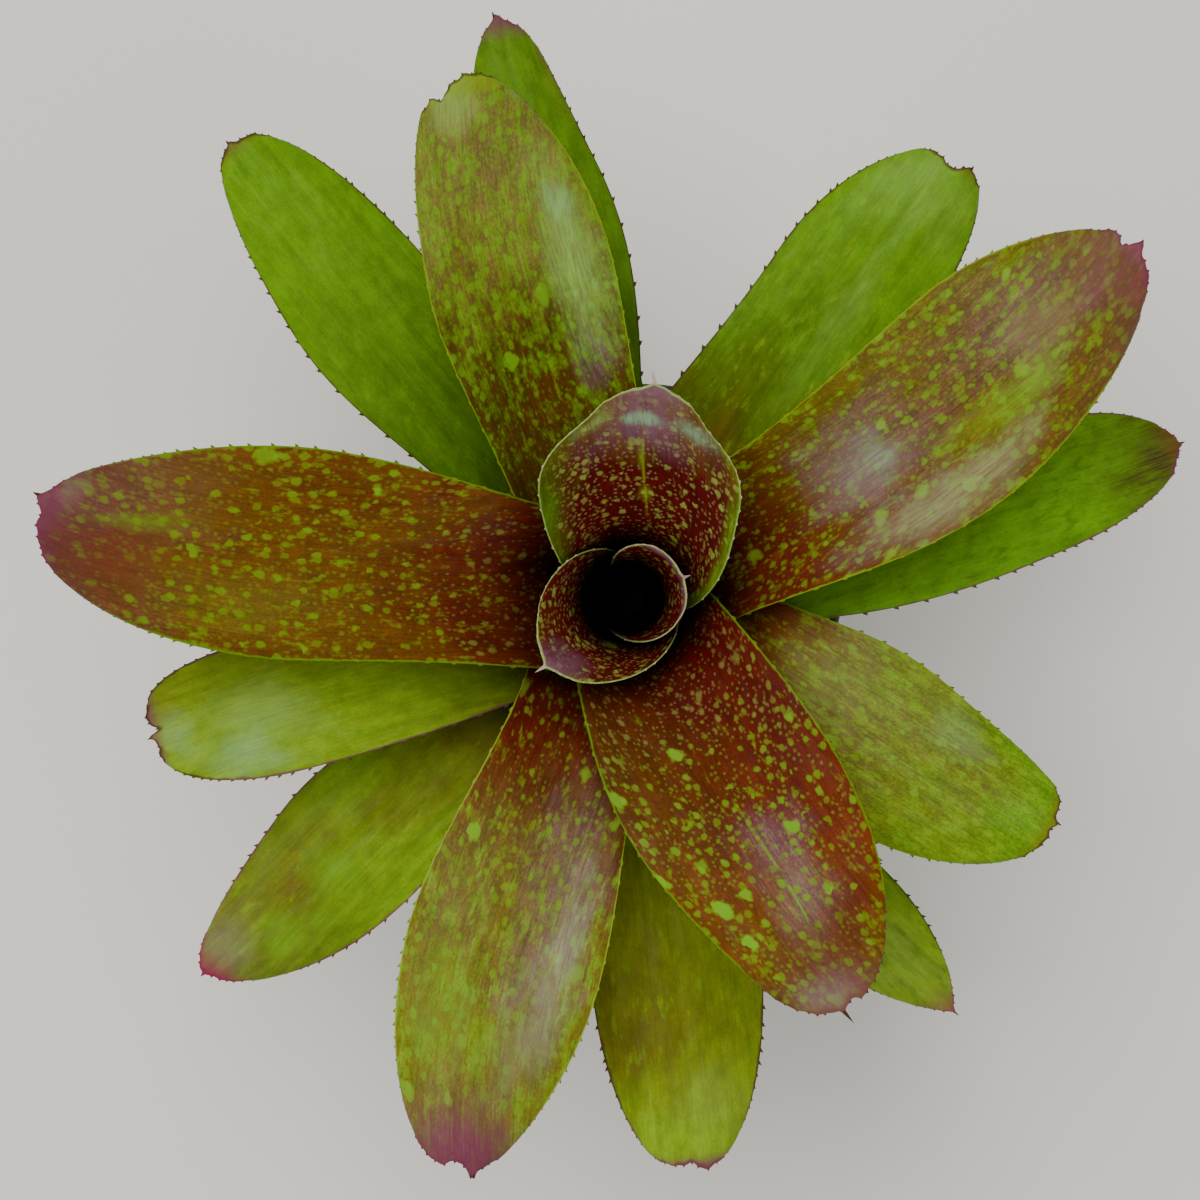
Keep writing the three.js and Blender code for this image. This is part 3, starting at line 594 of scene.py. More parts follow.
def add_node(tree, kind, *values, out=None, stops=(), **settings):
    """Adds a node with its settings, links and, for a ramp, its stops; gives an output."""
    node = tree.nodes.new(kind.type)
    for key, value in {**kind.settings, **settings}.items():
        setattr(node, key, value)
    fill(node, dict(zip(kind.inputs, values)))
    if stops:
        elements = node.color_ramp.elements
        for _ in stops[2:]:
            elements.new(1.0)
        for element, (position, colour) in zip(elements, stops):
            element.position, element.color = position, colour
    return node.outputs[kind.out if out is None else out]


def new_material(name):
    """An empty procedural material, its Principled shader and the function that adds nodes."""
    material = bpy.data.materials.new(name)
    material.use_nodes = True
    tree = material.node_tree
    return material, tree.nodes["Principled BSDF"], partial(add_node, tree)


def sized(*lengths):
    """The scale of a pattern whose features are that many millimetres along each axis."""
    return tuple(METRE / length for length in lengths)


# ---- pot ----
def moulded_polypropylene(colour):
    """Injection-moulded polypropylene, as in nursery pots.

    It gives a dark, satin skin with a faint orange peel, dull scuffs and dried water marks.
    """
    material, shader, add = new_material("moulded_polypropylene")
    place = add(PLACE)
    # Orange peel of the mould, about 1.2 mm across.
    peel = add(NOISE, place, METRE / 1.2, 2.0)
    # Scuffs run round and down the wall, 12 to 20 mm long.
    scuff = add(NOISE, add(MAPPING, place, sized(12, 12, 20)), 1.0, 6.0, 0.65)
    # Lime and mix splashed on the lowest 50 mm of the wall.
    low = add(RANGE, add(SPLIT, place, out="Z"), 0.0, 50 * MM, 0.5, 0.12)
    marks = add(RANGE, add(NOISE, place, METRE / 9, 8.0, 0.7), 0.52, 0.72)
    dust = add(MULTIPLY, marks, low)
    tint = add(BLEND, scuff, colour, (*(1.7 * c for c in colour[:3]), 1.0))
    fill(shader, {
        "Base Color": add(BLEND, dust, tint, hex_colour("#6a6f5c")),
        "Roughness": add(RANGE, scuff, 0.35, 0.7, 0.36, 0.55),
        "Normal": add(BUMP, peel, 0.12, 0.2 * MM), "IOR": 1.49})
    return material


def drain_cutter():
    """One object of all the cylinders that cut the drain holes."""
    drains = []
    for k in range(DRAIN_COUNT):
        angle = k / DRAIN_COUNT * FULL_TURN
        deselect()
        bpy.ops.mesh.primitive_cylinder_add(
            vertices=32, radius=DRAIN_RADIUS * MM, depth=12 * MM,
            location=(DRAIN_RING_RADIUS * MM * math.cos(angle),
                      DRAIN_RING_RADIUS * MM * math.sin(angle), MM))
        drains.append(bpy.context.object)
    return join(drains, "drain_cutter")


def edge(points, radius=0, height=0):
    """A rounded edge's points, given in millimetres, about a corner in metres."""
    return [(radius + out * MM, height + up * MM) for out, up in points]


class BROMELIAD_OT_pot(bpy.types.Operator):
    """Adds the tapered nursery pot with its collar and drain holes"""

    bl_idname = "bromeliad.add_pot"
    bl_label = "Pot"

    def execute(self, context):
        sizes = context.scene.bromeliad_pot
        top, rim, foot = sizes.height, sizes.rim_radius, sizes.foot_radius
        wall, collar = sizes.wall, sizes.height - sizes.collar_height
        floor = POT_FLOOR * MM

        def outside(z):
            return mix(foot, rim - COLLAR_STEP * MM, z / top)

        profile = [
            *edge(FLOOR_RECESS), *edge(FOOT_EDGE, foot),
            *((outside(z * MM), z * MM) for z in (1.6, *range(10, 75, 9))),
            (outside(collar - 2 * MM), collar - 2 * MM), (outside(collar), collar),
            *edge(COLLAR_EDGE, outside(collar), collar), *edge(RIM_EDGE, rim, top),
            (outside(top) - wall + 0.1 * MM, top - MM),
            *((outside(z * MM) - wall, z * MM) for z in (91, 84, 70, 50, 30, 12, 3.5)),
            (outside(floor) - wall - MM, floor), (10 * MM, floor),
        ]
        pot = turned("nursery_pot", profile, POT_SEGMENTS)
        cutter = drain_cutter()
        apply_modifier(pot, "drains", "BOOLEAN", operation="DIFFERENCE", object=cutter,
                       solver="EXACT")
        bpy.data.objects.remove(cutter)
        # The cut leaves double points where a hole's edge meets an edge of the floor.
        with editing(pot):
            bpy.ops.mesh.remove_doubles(threshold=0.01 * MM)
        settle(pot, 32)
        paint(pot, moulded_polypropylene(tuple(sizes.colour)))
        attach(pot, "root")
        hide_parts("pot")
        return {"FINISHED"}


# ---- potting mix ----
def peat_and_bark(colour):
    """Screened peat with composted bark, damp.

    It gives a near-black brown ground broken by fibres, with dull tan grains.
    """
    material, shader, add = new_material("peat_and_bark")
    place = add(PLACE)
    grain = add(NOISE, place, METRE / 2.2, 9.0, 0.75)
    clod = add(CELLS, place, METRE / 3.5)
    ground = add(RAMP, grain, stops=(
        (0.3, hex_colour("#0d0805")), (0.5, colour), (0.75, hex_colour("#5a4530"))))
    bump = add(BUMP, add(SUBTRACT, grain, clod), 0.8, 1.2 * MM)
    fill(shader, {"Base Color": ground, "Normal": bump, "Roughness": 0.92})
    return material


def conifer_bark():
    """Chipped conifer bark, weathered.

    It gives layered red-brown chips with paler broken edges.
    """
    material, shader, add = new_material("conifer_bark")
    place = add(PLACE)
    # Layers 0.7 mm thick that lie askew in each chip, and patches 14 mm across.
    layers = add(MAPPING, place, sized(6, 6, 0.7), (0, 0, 0), (0.4, 0.7, 0.2))
    layer = add(NOISE, layers, 1.0, 5.0, 0.6)
    tone = add(MULTIPLY, add(ADD, layer, add(NOISE, place, METRE / 14)), 0.5)
    bark = add(RAMP, tone, stops=(
        (0.32, hex_colour("#1f120b")), (0.5, hex_colour("#4f3320")),
        (0.72, hex_colour("#8a6a48"))))
    bump = add(BUMP, layer, 0.7, 0.6 * MM)
    fill(shader, {"Base Color": bark, "Normal": bump, "Roughness": 0.85})
    return material


def bark_chip(name, size, seed):
    """One flat, broken chip of bark at the origin, size in metres."""
    deselect()
    bpy.ops.mesh.primitive_cube_add(size=1, location=(0, 0, 0))
    chip = added(name)
    chip.scale = (size, size * CHIP_WIDTH, size * CHIP_HEIGHT)
    apply_place()
    with editing(chip):
        bpy.ops.mesh.subdivide(number_cuts=1, smoothness=0.6)
    dice = random.Random(seed)
    for vertex in chip.data.vertices:
        vertex.co += Vector([dice.uniform(-CHIP_CHIPPING, CHIP_CHIPPING) * size
                             for _ in range(3)])
    return chip


def shifted(radius):
    """How much of the plant's place off the middle the mix follows at that radius."""
    return 1 - smooth(*(end * MM for end in SHIFT_FADE), radius)


def scatter_chips(context, sizes, far, top):
    """Copies of the bark chips, laid on the mix at that height, up to far from the middle."""
    kinds = [bark_chip(f"chip_{k}", sizes.chip_size * share, 40 + k)
             for k, share in enumerate(CHIP_SIZES)]
    dice = random.Random(7)
    laid = []
    for _ in range(sizes.chips):
        kind = kinds[min(len(kinds) - 1, int(dice.random() ** SMALL_SHARE * len(kinds)))]
        chip = kind.copy()
        chip.data = kind.data.copy()
        context.collection.objects.link(chip)
        angle = dice.uniform(0, FULL_TURN)
        last = far - kind.dimensions.x * CHIP_WIDTH
        radius = math.sqrt(dice.uniform((CHIPS_FROM * MM) ** 2, last**2))
        shift = shifted(radius)
        chip.location = (
            radius * math.cos(angle) + PLANT_X * MM * shift,
            radius * math.sin(angle) + PLANT_Y * MM * shift,
            top + kind.dimensions.z * dice.uniform(*CHIP_RISE))
        chip.rotation_euler = (dice.gauss(0, CHIP_TILT), dice.gauss(0, CHIP_TILT),
                               dice.uniform(0, FULL_TURN))
        laid.append(chip)
    for kind in kinds:
        bpy.data.objects.remove(kind)
    return join(laid, "bark_layer")


class BROMELIAD_OT_mix(bpy.types.Operator):
    """Adds the potting mix with bark chips on top"""

    bl_idname = "bromeliad.add_mix"
    bl_label = "Potting mix"

    def execute(self, context):
        pot, sizes = context.scene.bromeliad_pot, context.scene.bromeliad_mix

        def inside(z):
            outer = mix(pot.foot_radius, pot.rim_radius - COLLAR_STEP * MM, z / pot.height)
            return outer - pot.wall - SEAT_GAP * MM

        low, top = (POT_FLOOR + SEAT_GAP) * MM, SOIL_TOP * MM
        hole, bottom = (STEM_FOOT_RADIUS + SEAT_GAP) * MM, (STEM_FOOT_Z - SEAT_GAP) * MM
        shoulder = inside(SHOULDER_Z * MM)
        profile = [
            (12 * MM, low), (inside(low), low),
            *((inside(z * MM), z * MM) for z in (20, 40, 60, 78, SHOULDER_Z)),
            (shoulder - 0.8 * MM, 82.3 * MM), (49.5 * MM, top),
            *((r * MM, top) for r in range(48, 15, -1)),
            (hole, top), (hole, bottom), (4 * MM, bottom),
        ]
        peat = turned("potting_mix", profile, MIX_SEGMENTS)
        # The hole stands where the plant does, and the top is lumpy out to the wall.
        for vertex in peat.data.vertices:
            x, y, z = vertex.co
            radius = math.hypot(x, y)
            if z > (STEM_FOOT_Z - 1) * MM:
                share = shifted(radius)
                vertex.co.x += PLANT_X * MM * share
                vertex.co.y += PLANT_Y * MM * share
            if z > top - 2.1 * MM and radius > hole + MM:
                spot = Vector((vertex.co.x, vertex.co.y, 0))
                lump = noise.fractal(spot * LUMP_RATE, LUMP_ROUGHNESS, LUMP_FINENESS,
                                     LUMP_OCTAVES)
                vertex.co.z += LUMP_HEIGHT * MM * max(-LUMP_LIMIT, min(LUMP_LIMIT, lump))
        paint(peat, peat_and_bark(tuple(sizes.colour)))
        chips = scatter_chips(context, sizes, shoulder, top)
        paint(chips, conifer_bark())
        settle(chips, 50)
        settle(peat, 60)
        for piece in (peat, chips):
            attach(piece, "root")
            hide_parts("soil")
        return {"FINISHED"}


# ---- stem ----
def dried_leaf_bases():
    """The stem's rind of dried leaf bases, split and fibrous.

    It gives pale brown fibres that run upwards, with darker rings where leaves fell, and
    painted shade, near-black, near the plant's axis, where the leaf bases close over it.
    """
    material, shader, add = new_material("dried_leaf_bases")
    place = add(PLACE)
    # Fibres 0.8 mm thick and 9 mm long, and rings 2.4 mm apart.
    fibre = add(NOISE, add(MAPPING, place, sized(0.8, 0.8, 9)), 1.0, 4.0, 0.6)
    ring = add(NOISE, add(MAPPING, place, sized(40, 40, 2.4)), 1.0, 3.0)
    tone = add(AVERAGE, 0.5, fibre, ring)
    rind = add(RAMP, tone, stops=(
        (0.35, hex_colour("#20150c")), (0.52, hex_colour("#553f26")),
        (0.7, hex_colour("#8c7650"))))
    # Within 12 to 20 mm of the plant's axis, the stem's top inside the ring of leaf bases, the
    # rind fades into painted shade, the near-black of the cup's depth.
    inward = add(MAPPING, place, (1, 1, 0), (-PLANT_X * MM, -PLANT_Y * MM, 0))
    clear_of_cup_shade = add(RANGE, add(LENGTH, inward), 12 * MM, 20 * MM)
    fill(shader, {
        "Base Color": add(BLEND, clear_of_cup_shade, tissue("cup"), rind),
        "Normal": add(BUMP, tone, 0.7, 0.5 * MM),
        "Roughness": 0.8, "Specular IOR Level": 0.2})
    return material


def leaf_base(rank):
    """Radius and height where that leaf leaves the dome, and its elevation in degrees."""
    angle = math.asin(DOME_START / DOME_RADIUS) + rank * LEAF_SPACING / DOME_RADIUS
    reach = DOME_RADIUS + LEAF_SEAT
    return (reach * math.sin(angle) + BASE_CHORD,
            DOME_TOP_Z - DOME_RADIUS + reach * math.cos(angle), LEAF_RISE - LEAF_TURN * rank)


def dome(radius):
    """Height of the stem's dome at that distance from the plant's axis."""
    return DOME_TOP_Z - DOME_RADIUS + math.sqrt(DOME_RADIUS**2 - radius**2)


class BROMELIAD_OT_stem(bpy.types.Operator):
    """Adds the short ringed stem under the leaves"""

    bl_idname = "bromeliad.add_stem"
    bl_label = "Stem"

    def execute(self, context):
        foot, last = STEM_FOOT_RADIUS, leaf_base(len(LEAVES) - 1)[0] + DOME_MARGIN
        rows = [(4, STEM_FOOT_Z), (foot - 0.8, STEM_FOOT_Z),
                *((foot, z) for z in (61, 64, 68, 72, 76, 80, SOIL_TOP))]
        # The neck flares to the lowest leaf in shallow steps, one for each fallen leaf.
        for k in range(SCARS):
            radius = mix(foot, last, (k + 0.55) / SCARS)
            height = mix(SOIL_TOP + SCARS_OVER_MIX, dome(last) - SCARS_UNDER_DOME,
                         k / (SCARS - 1))
            rows += [(radius - SCAR_IN, height - SCAR_DROP), (radius + SCAR_OUT, height)]
        rows += [(last + 0.4, dome(last) - 1), (last, dome(last))]
        rows += [(last - step, dome(last - step)) for step in range(3, 24, 3)
                 if last - step > 2.5]
        rows.append((1.5, DOME_TOP_Z - 0.04))
        stem = turned("stem_rind", [(r * MM, z * MM) for r, z in rows], STEM_SEGMENTS)
        for vertex in stem.data.vertices:
            x, y, z = vertex.co
            angle = math.atan2(y, x)
            if SOIL_TOP * MM < z < (dome(last) - 1.5) * MM:
                ragged = math.sin(7 * angle + z * 900) * math.cos(3 * angle)
                x, y = (side * (1 + SCAR_RAGGEDNESS * ragged) for side in (x, y))
            vertex.co = (x + PLANT_X * MM, y + PLANT_Y * MM, z)
        settle(stem, 40)
        paint(stem, dried_leaf_bases())
        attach(stem, "root")
        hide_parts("stem")
        return {"FINISHED"}


# ---- leaves: shape ----
def midline(leaf, rank):
    """Radius, height and elevation (radians) at every millimetre of the leaf's length."""
    radius, z, start = leaf_base(rank)
    line = []
    for s in range(leaf.length + 6):
        turn = smooth(*leaf.bend, s)
        elevation = math.radians(mix(start, leaf.rise, turn)
                                 - leaf.droop * (s / leaf.length) ** 2)
        line.append((radius, z, elevation))
        radius += math.cos(elevation)
        z += math.sin(elevation)
    return line


def half_width(leaf, s):
    """From the midline to the edge, before the rounded end."""
    far = s / leaf.length
    lower = mix(leaf.sheath, leaf.neck, smooth(*NECK_ZONE, far))
    return mix(lower, leaf.width / 2, smooth(*BLADE_ZONE, far))


def hump(offset, width):
    """1 where the offset is 0, fading like a bell over that width."""
    return math.exp(-((offset / width) ** 2))


def plan(leaf, style, along, across):
    """Millimetres along and across the midline of one spot of the flat leaf."""
    corner = math.sqrt(1 - END_SHARE**leaf.square)
    tip_start = leaf.length - leaf.tip
    side = along * (tip_start + leaf.tip * corner)
    near = max(0, side - tip_start) / leaf.tip
    half = half_width(leaf, side) * (1 - near**2) ** (1 / leaf.square)
    rounded = math.sqrt(1 - (abs(across) * END_SHARE) ** leaf.square) - corner
    depth, place = leaf.dent
    nick = DENT_SHARE * depth * hump(across - place, DENT_WIDTH)
    s = side + (leaf.tip * rounded - nick) * (near / corner) ** END_REACH
    beak, beak_place, ragged, _ = style.end
    slow, quick = (rate * across for rate in RAGGED_RATES)
    rough = ragged * (math.sin(slow + 3 * leaf.azimuth) + math.sin(quick))
    beaked = beak * math.exp(-abs(across - beak_place) / BEAK_WIDTH)
    bitten = sum(depth * hump(across - at, BITE_WIDTH) for depth, at in style.bites)
    s += (beaked - bitten + RAGGED_HEIGHT * rough) * (near / corner) ** BEAK_REACH
    far = s / leaf.length
    half *= 1 - style.waist * hump(far - WAIST, WAIST_LENGTH)
    bowed = leaf.bow * math.sin(math.pi * max(0, (far - BOW_FROM) / (1 - BOW_FROM)))
    skewed = leaf.skew * max(0, (far - SKEW_FROM) / (1 - SKEW_FROM)) ** 2
    return s, across * half + bowed + skewed


def relief(leaf, rank, s, across):
    """Height over the leaf's surface of revolution: channel, rolled edges, soft waves."""
    far = s / leaf.length
    flat, outer = smooth(*FLAT_ZONE, far), smooth(*ROLL_ZONE, far)
    edges = CHANNEL * smooth(*CHANNEL_ZONE, far) * (1 - flat) - leaf.roll * outer
    groove = -GROOVE_DEPTH * hump(across, GROOVE_WIDTH) * smooth(*GROOVE_ZONE, far)
    phase = s * WAVE_RATE + rank * WAVE_STEP + WAVE_SLANT * across
    wave = WAVE_HEIGHT * math.sin(phase) * across**4
    return (edges * across**2 + leaf.twist * 0.5 * across * outer + groove + wave * flat)


def thickness(leaf, s, across):
    """Of the blade: thickest along the midrib, thin at the edges and in the sheath."""
    blade = smooth(*BODY_ZONE, s / leaf.length)
    rib = mix(RIB_THICKNESS, EDGE_THICKNESS, min(1, abs(across) * RIB_SLOPE))
    return mix(SHEATH_THICKNESS, rib, blade)


def place(leaf, line, s, w, lift):
    """The spot's place in space, in metres."""
    k = min(len(line) - 2, max(0, int(s)))
    radius, z, elevation = (mix(a, b, s - k) for a, b in zip(line[k], line[k + 1]))
    turn = leaf.swing * (s / leaf.length) ** 3
    angle = math.radians(leaf.azimuth + turn) + w / radius
    out = radius - math.sin(elevation) * lift
    return ((PLANT_X + out * math.cos(angle)) * MM, (PLANT_Y + out * math.sin(angle)) * MM,
            (z + math.cos(elevation) * lift) * MM)


def leaf_blade(name, leaf, rank, style):
    """The blade without teeth: a grid laid on the leaf's surface and given its thickness.

    Gives the piece and, for each of the grid's vertices, its row, column, s and across.
    """
    rows = round(leaf.length / ROW_MM)
    deselect()
    bpy.ops.mesh.primitive_grid_add(x_subdivisions=COLUMNS, y_subdivisions=rows, size=2)
    blade = added(name)
    mesh = blade.data
    line = midline(leaf, rank)
    spots, widths = [], []
    for vertex in mesh.vertices:
        x, y = -vertex.co.x, vertex.co.y
        across = math.copysign(1 - (1 - abs(x)) ** EDGE_CROWDING, x)
        u = (y + 1) / 2
        along = (1 + ROW_CROWDING) * u - ROW_CROWDING * u * u
        s, w = plan(leaf, style, along, across)
        vertex.co = place(leaf, line, s, w, relief(leaf, rank, s, across))
        spots.append((round(u * rows), round((1 - x) / 2 * COLUMNS), s, across))
        widths.append(w)
    # The distance to the nearest edge, in metres, for the thin, coloured margin.
    group = blade.vertex_groups.new(name="thickness")
    at = {spot[:2]: vertex.co.copy() for spot, vertex in zip(spots, mesh.vertices)}
    inward = []
    for k, (row, column, s, across) in enumerate(spots):
        edges = (at[row, 0], at[row, COLUMNS], at[rows, column])
        inward.append(min((at[row, column] - edge).length for edge in edges))
        share = thickness(leaf, s, across) / RIB_THICKNESS
        share *= mix(MARGIN_THINNESS, 1, smooth(0, MARGIN * MM, inward[k]))
        group.add([k], share, "REPLACE")
    mesh.attributes.new("rim", "FLOAT", "POINT").data.foreach_set("value", inward)
    # Two maps: metres along and across the blade, and shares of its length and width.
    metres = mesh.uv_layers.active
    metres.name = "blade"
    shares = mesh.uv_layers.new(name="share")
    for loop in mesh.loops:
        _, _, s, across = spots[loop.vertex_index]
        metres.data[loop.index].uv = (s * MM, widths[loop.vertex_index] * MM)
        shares.data[loop.index].uv = (s / leaf.length, across)
    apply_modifier(blade, "body", "SOLIDIFY", thickness=RIB_THICKNESS * MM, offset=0,
                   vertex_group="thickness", use_even_offset=False, material_offset=1)
    return blade, spots, rows


def rim_faces(mesh, spots, rows):
    """The rim's faces in order, as {edge: {step: face index}} for two sides and the end."""
    count = len(spots)
    edges = {}
    for face in mesh.polygons:
        ids = {v % count for v in face.vertices}
        if len(ids) != 2:
            continue
        (row, column), (next_row, next_column) = sorted(spots[k][:2] for k in ids)
        if next_row == row + 1:
            edges.setdefault(column, {})[row] = face.index
        elif row == rows:
            edges.setdefault("end", {})[min(column, next_column)] = face.index
    return edges


def face_length(mesh, face):
    """The longest edge of a face."""
    return max((mesh.vertices[a].co - mesh.vertices[b].co).length for a, b in face.edge_keys)


def mark_growth(blade, leaf, spots, rows, end, settings, dice):
    """Marks the rim faces that teeth and the mucro grow from, and gives the marks."""
    mesh = blade.data
    marks = [0] * len(mesh.polygons)
    edges = rim_faces(mesh, spots, rows)
    at_end = sorted(edges["end"], key=lambda c: abs(1 - 2 * (c + 0.5) / COLUMNS - end[1]))
    spared = set(at_end[:BARE_END])
    for side, faces in edges.items():
        gone, want = 0.0, 0.5 * settings.tooth_spacing
        for step in sorted(faces):
            if side == "end" and step in spared:
                continue
            face = mesh.polygons[faces[step]]
            s = max(spots[v % len(spots)][2] for v in face.vertices)
            length = face_length(mesh, face)
            gone += length
            if s < TOOTH_START or length < LEAST_FACE * MM or gone < want:
                continue
            marks[face.index] = FINE_TOOTH if s > FINE_FROM * leaf.length else TOOTH
            spacing = mix(settings.tooth_spacing, settings.tip_spacing,
                          smooth(*SPACING_ZONE, s / leaf.length))
            gone, want = 0.0, spacing * dice.uniform(*SPACING_SPREAD)
    for step in at_end[:2]:
        marks[edges["end"][step]] = MUCRO
    growth = mesh.attributes.new("growth", "INT", "FACE")
    growth.data.foreach_set("value", marks)
    return marks


def select_marked(blade, mark):
    """Selects just the faces with that mark and enters edit mode."""
    only(blade)
    set_mode("EDIT")
    bpy.ops.mesh.select_mode(type="FACE")
    bpy.ops.mesh.select_all(action="DESELECT")
    set_mode("OBJECT")
    growth = blade.data.attributes["growth"].data
    blade.data.polygons.foreach_set("select", [item.value == mark for item in growth])
    set_mode("EDIT")


def grow_teeth(blade, leaf, rank, spots, rows, style, settings, dice):
    """Raises a forward-leaning spine out of the rim at each mark, and the mucro."""
    mesh = blade.data
    marks = mark_growth(blade, leaf, spots, rows, style.end, settings, dice)
    line = midline(leaf, rank)
    tip = [Vector(place(leaf, line, leaf.length + step, 0, 0)) for step in (-2, 2)]
    forward = (tip[1] - tip[0]).normalized()
    # 1 on the points, less on the mucro and on the teeth's feet: they take their own colour.
    share = [0.0] * len(mesh.vertices)
    # The mucro: the end's two middle faces drawn out to a point.
    select_marked(blade, MUCRO)
    for step, shrink in MUCRO_STEPS:
        bpy.ops.mesh.extrude_region_move(
            TRANSFORM_OT_translate={"value": forward * step * style.end[3] * MM})
        set_mode("OBJECT")
        picked = [v.co for v in mesh.vertices if v.select]
        centre = sum(picked, Vector()) / len(picked)
        set_mode("EDIT")
        bpy.ops.transform.resize(value=(shrink,) * 3, center_override=centre)
    set_mode("OBJECT")
    share += [MUCRO_TINT] * (len(mesh.vertices) - len(share))
    axis = Vector((PLANT_X * MM, PLANT_Y * MM, 0))
    # The extruded sides keep the mark of their face, and the teeth don't grow from them.
    for mark, size in ((TOOTH, style.tooth[1]), (FINE_TOOTH, FINE_SHARE * style.tooth[1])):
        if mark not in marks:
            continue
        select_marked(blade, mark)
        bpy.ops.mesh.inset(thickness=TOOTH_TAPER * MM, depth=TOOTH_NECK * size * MM,
                           use_individual=True)
        set_mode("OBJECT")
        necks = len(mesh.vertices)
        set_mode("EDIT")
        bpy.ops.mesh.poke(offset=(settings.tooth_length - TOOTH_NECK * MM) * size)
        set_mode("OBJECT")
        points = len(mesh.vertices) - necks
        if points != marks.count(mark):
            raise RuntimeError(f"{blade.name}: {points} points for {marks.count(mark)} teeth")
        for vertex in mesh.vertices[necks:]:
            out = (vertex.co - axis) * Vector((1, 1, 0))
            lean = out.normalized() + FORWARD_LEAN * forward
            vertex.co += TOOTH_LEAN * size * MM * lean
        share += [FOOT_TINT] * (necks - len(share)) + [1.0] * points
    tooth = mesh.attributes.new("tooth", "FLOAT", "POINT")
    tooth.data.foreach_set("value", share)
    mesh.attributes.remove(mesh.attributes["growth"])


# ---- leaves: skin ----
def living_blade(name, style, seed):
    """The upper skin of a living bromeliad leaf: a waxy cuticle over red and green tissue.

    It gives a satin surface with fine lengthwise veins, where the red pigment breaks up
    into yellow-green spots, with a coloured margin, dark teeth and a tinted tip, and with
    painted sheen in pale veils and painted shade in the depth of the cup.
    """
    material, shader, add = new_material(name)
    share = add(UV, uv_map="share")
    far, across = add(SPLIT, share), add(SPLIT, share, out="Y")
    # Millimetres along and across, shifted so that no two leaves match.
    mm = add(MAPPING, add(UV, uv_map="blade"), (METRE, METRE, 1), (37 * seed, 61 * seed, 0))

    def cloud(along, over, detail=3.0, rough=0.55, out=0):
        """Noise whose features are that many millimetres long and wide."""
        where = add(MAPPING, mm, (1 / along, 1 / over, 1))
        return add(FLAT_NOISE, where, 1.0, detail, rough, out=out)

    # Skin colour from base to tip, its bounds broken up by slow noise.
    drift = add(ADD, cloud(22, 12, 4.0, 0.6), -0.5)
    wander = add(MULTIPLY_ADD, drift, 0.34, far)
    colours = [tissue(colour) for colour in style.skin]
    skin = add(RAMP, wander, stops=tuple(zip(SKIN_STOPS, colours)))
    tint, amount = style.side
    if amount:
        way = math.copysign(1, amount)
        half = add(EASE, across, -0.5 * way, 0.9 * way, 0, abs(amount))
        outer = add(MULTIPLY, half, add(EASE, far, 0.25, 0.5))
        skin = add(BLEND, outer, skin, tissue(tint))
    smear = add(EASE, cloud(9, 0.6, 4.0, 0.6), 0.3, 0.66, 0.5, 1)

    def veiled(skin, veils):
        """The skin under soft-edged, streaky patches of colour."""
        for at, beside, long, wide, colour, strength in veils:
            off = add(MAPPING, share, (1 / long, 1 / wide, 1), (-at / long, -beside / wide, 0))
            off = add(MULTIPLY_ADD, drift, 1.6, add(LENGTH, off))
            veil = add(MULTIPLY, add(EASE, off, 0.0, 1.3, strength, 0), smear)
            skin = add(BLEND, veil, skin, tissue(colour))
        return skin

    # Veils under the spots: pigment, and on some leaves painted sheen.
    skin = veiled(skin, style.flush)
    # Streaks of the bundles of veins, 0.6 mm and 3.2 mm apart, an uneven ground and the dust
    # of scales. Green leaves are smoother.
    crisp = GREEN_CRISPNESS if style.slot == "leaf_green" else 1.0
    streak = add(EASE, cloud(18, 0.6, 3.0), 0.3, 0.7, 1 - 0.14 * crisp, 1 + 0.1 * crisp)
    broad = add(EASE, cloud(60, 3.2, 3.0), 0.3, 0.7, 0.92, 1.06)
    mottle = add(EASE, cloud(7, 4.5, 5.0, 0.65), 0.3, 0.7, 0.86, 1.12)
    scales = add(EASE, cloud(0.9, 0.5, 2.0), 0.3, 0.7, 1 - 0.15 * crisp, 1 + 0.15 * crisp)
    grain = add(MULTIPLY, add(MULTIPLY, streak, broad), add(MULTIPLY, mottle, scales))
    skin = add(TINT, 1.0, skin, grain)

    # Blotches of green where the red never formed, soft and drawn out along the veins.
    patch = cloud(6.5, 2.6, 5.0, 0.62)
    inner, middle, outer = (BLOTCH_LEAST - BLOTCH_SPAN * cover for cover in style.blotch)
    least = add(ADD, add(EASE, far, 0.3, 0.6, inner, middle),
                add(EASE, far, 0.65, 0.92, 0, outer - middle))
    patch = add(EASE, add(SUBTRACT, patch, least), -0.07, 0.14)
    dull, bright, strength, turn = style.spot
    dull, bright = tissue(dull), tissue(bright)
    fresh = add(EASE, cloud(14, 8, 2.0), 0.35, 0.65, 0.2, 1.0)
    flesh = add(TINT, 1.0, add(BLEND, fresh, dull, bright), grain)
    lit = add(EASE, far, 0.12, 0.44, 0.45 * strength, strength)
    skin = add(BLEND, add(MULTIPLY, add(MULTIPLY, patch, lit), BLOTCH_STRENGTH), skin, flesh)

    # Spots in three sizes, in loose crowds: the small ones dull, the large ones bright, and
    # towards the base all of them tan.
    crowd = add(EASE, cloud(24, 12, 2.0), 0.36, 0.6, 0.4, 1.0)
    green = add(EASE, wander, turn - 0.16, turn + 0.16)
    grown = add(EASE, far, 0.35, 0.65, 0.78, 1.0)
    for (cell, least, most, rough, soft, colour, force), portion in zip(SPOTS, style.spots):
        if not portion:
            continue
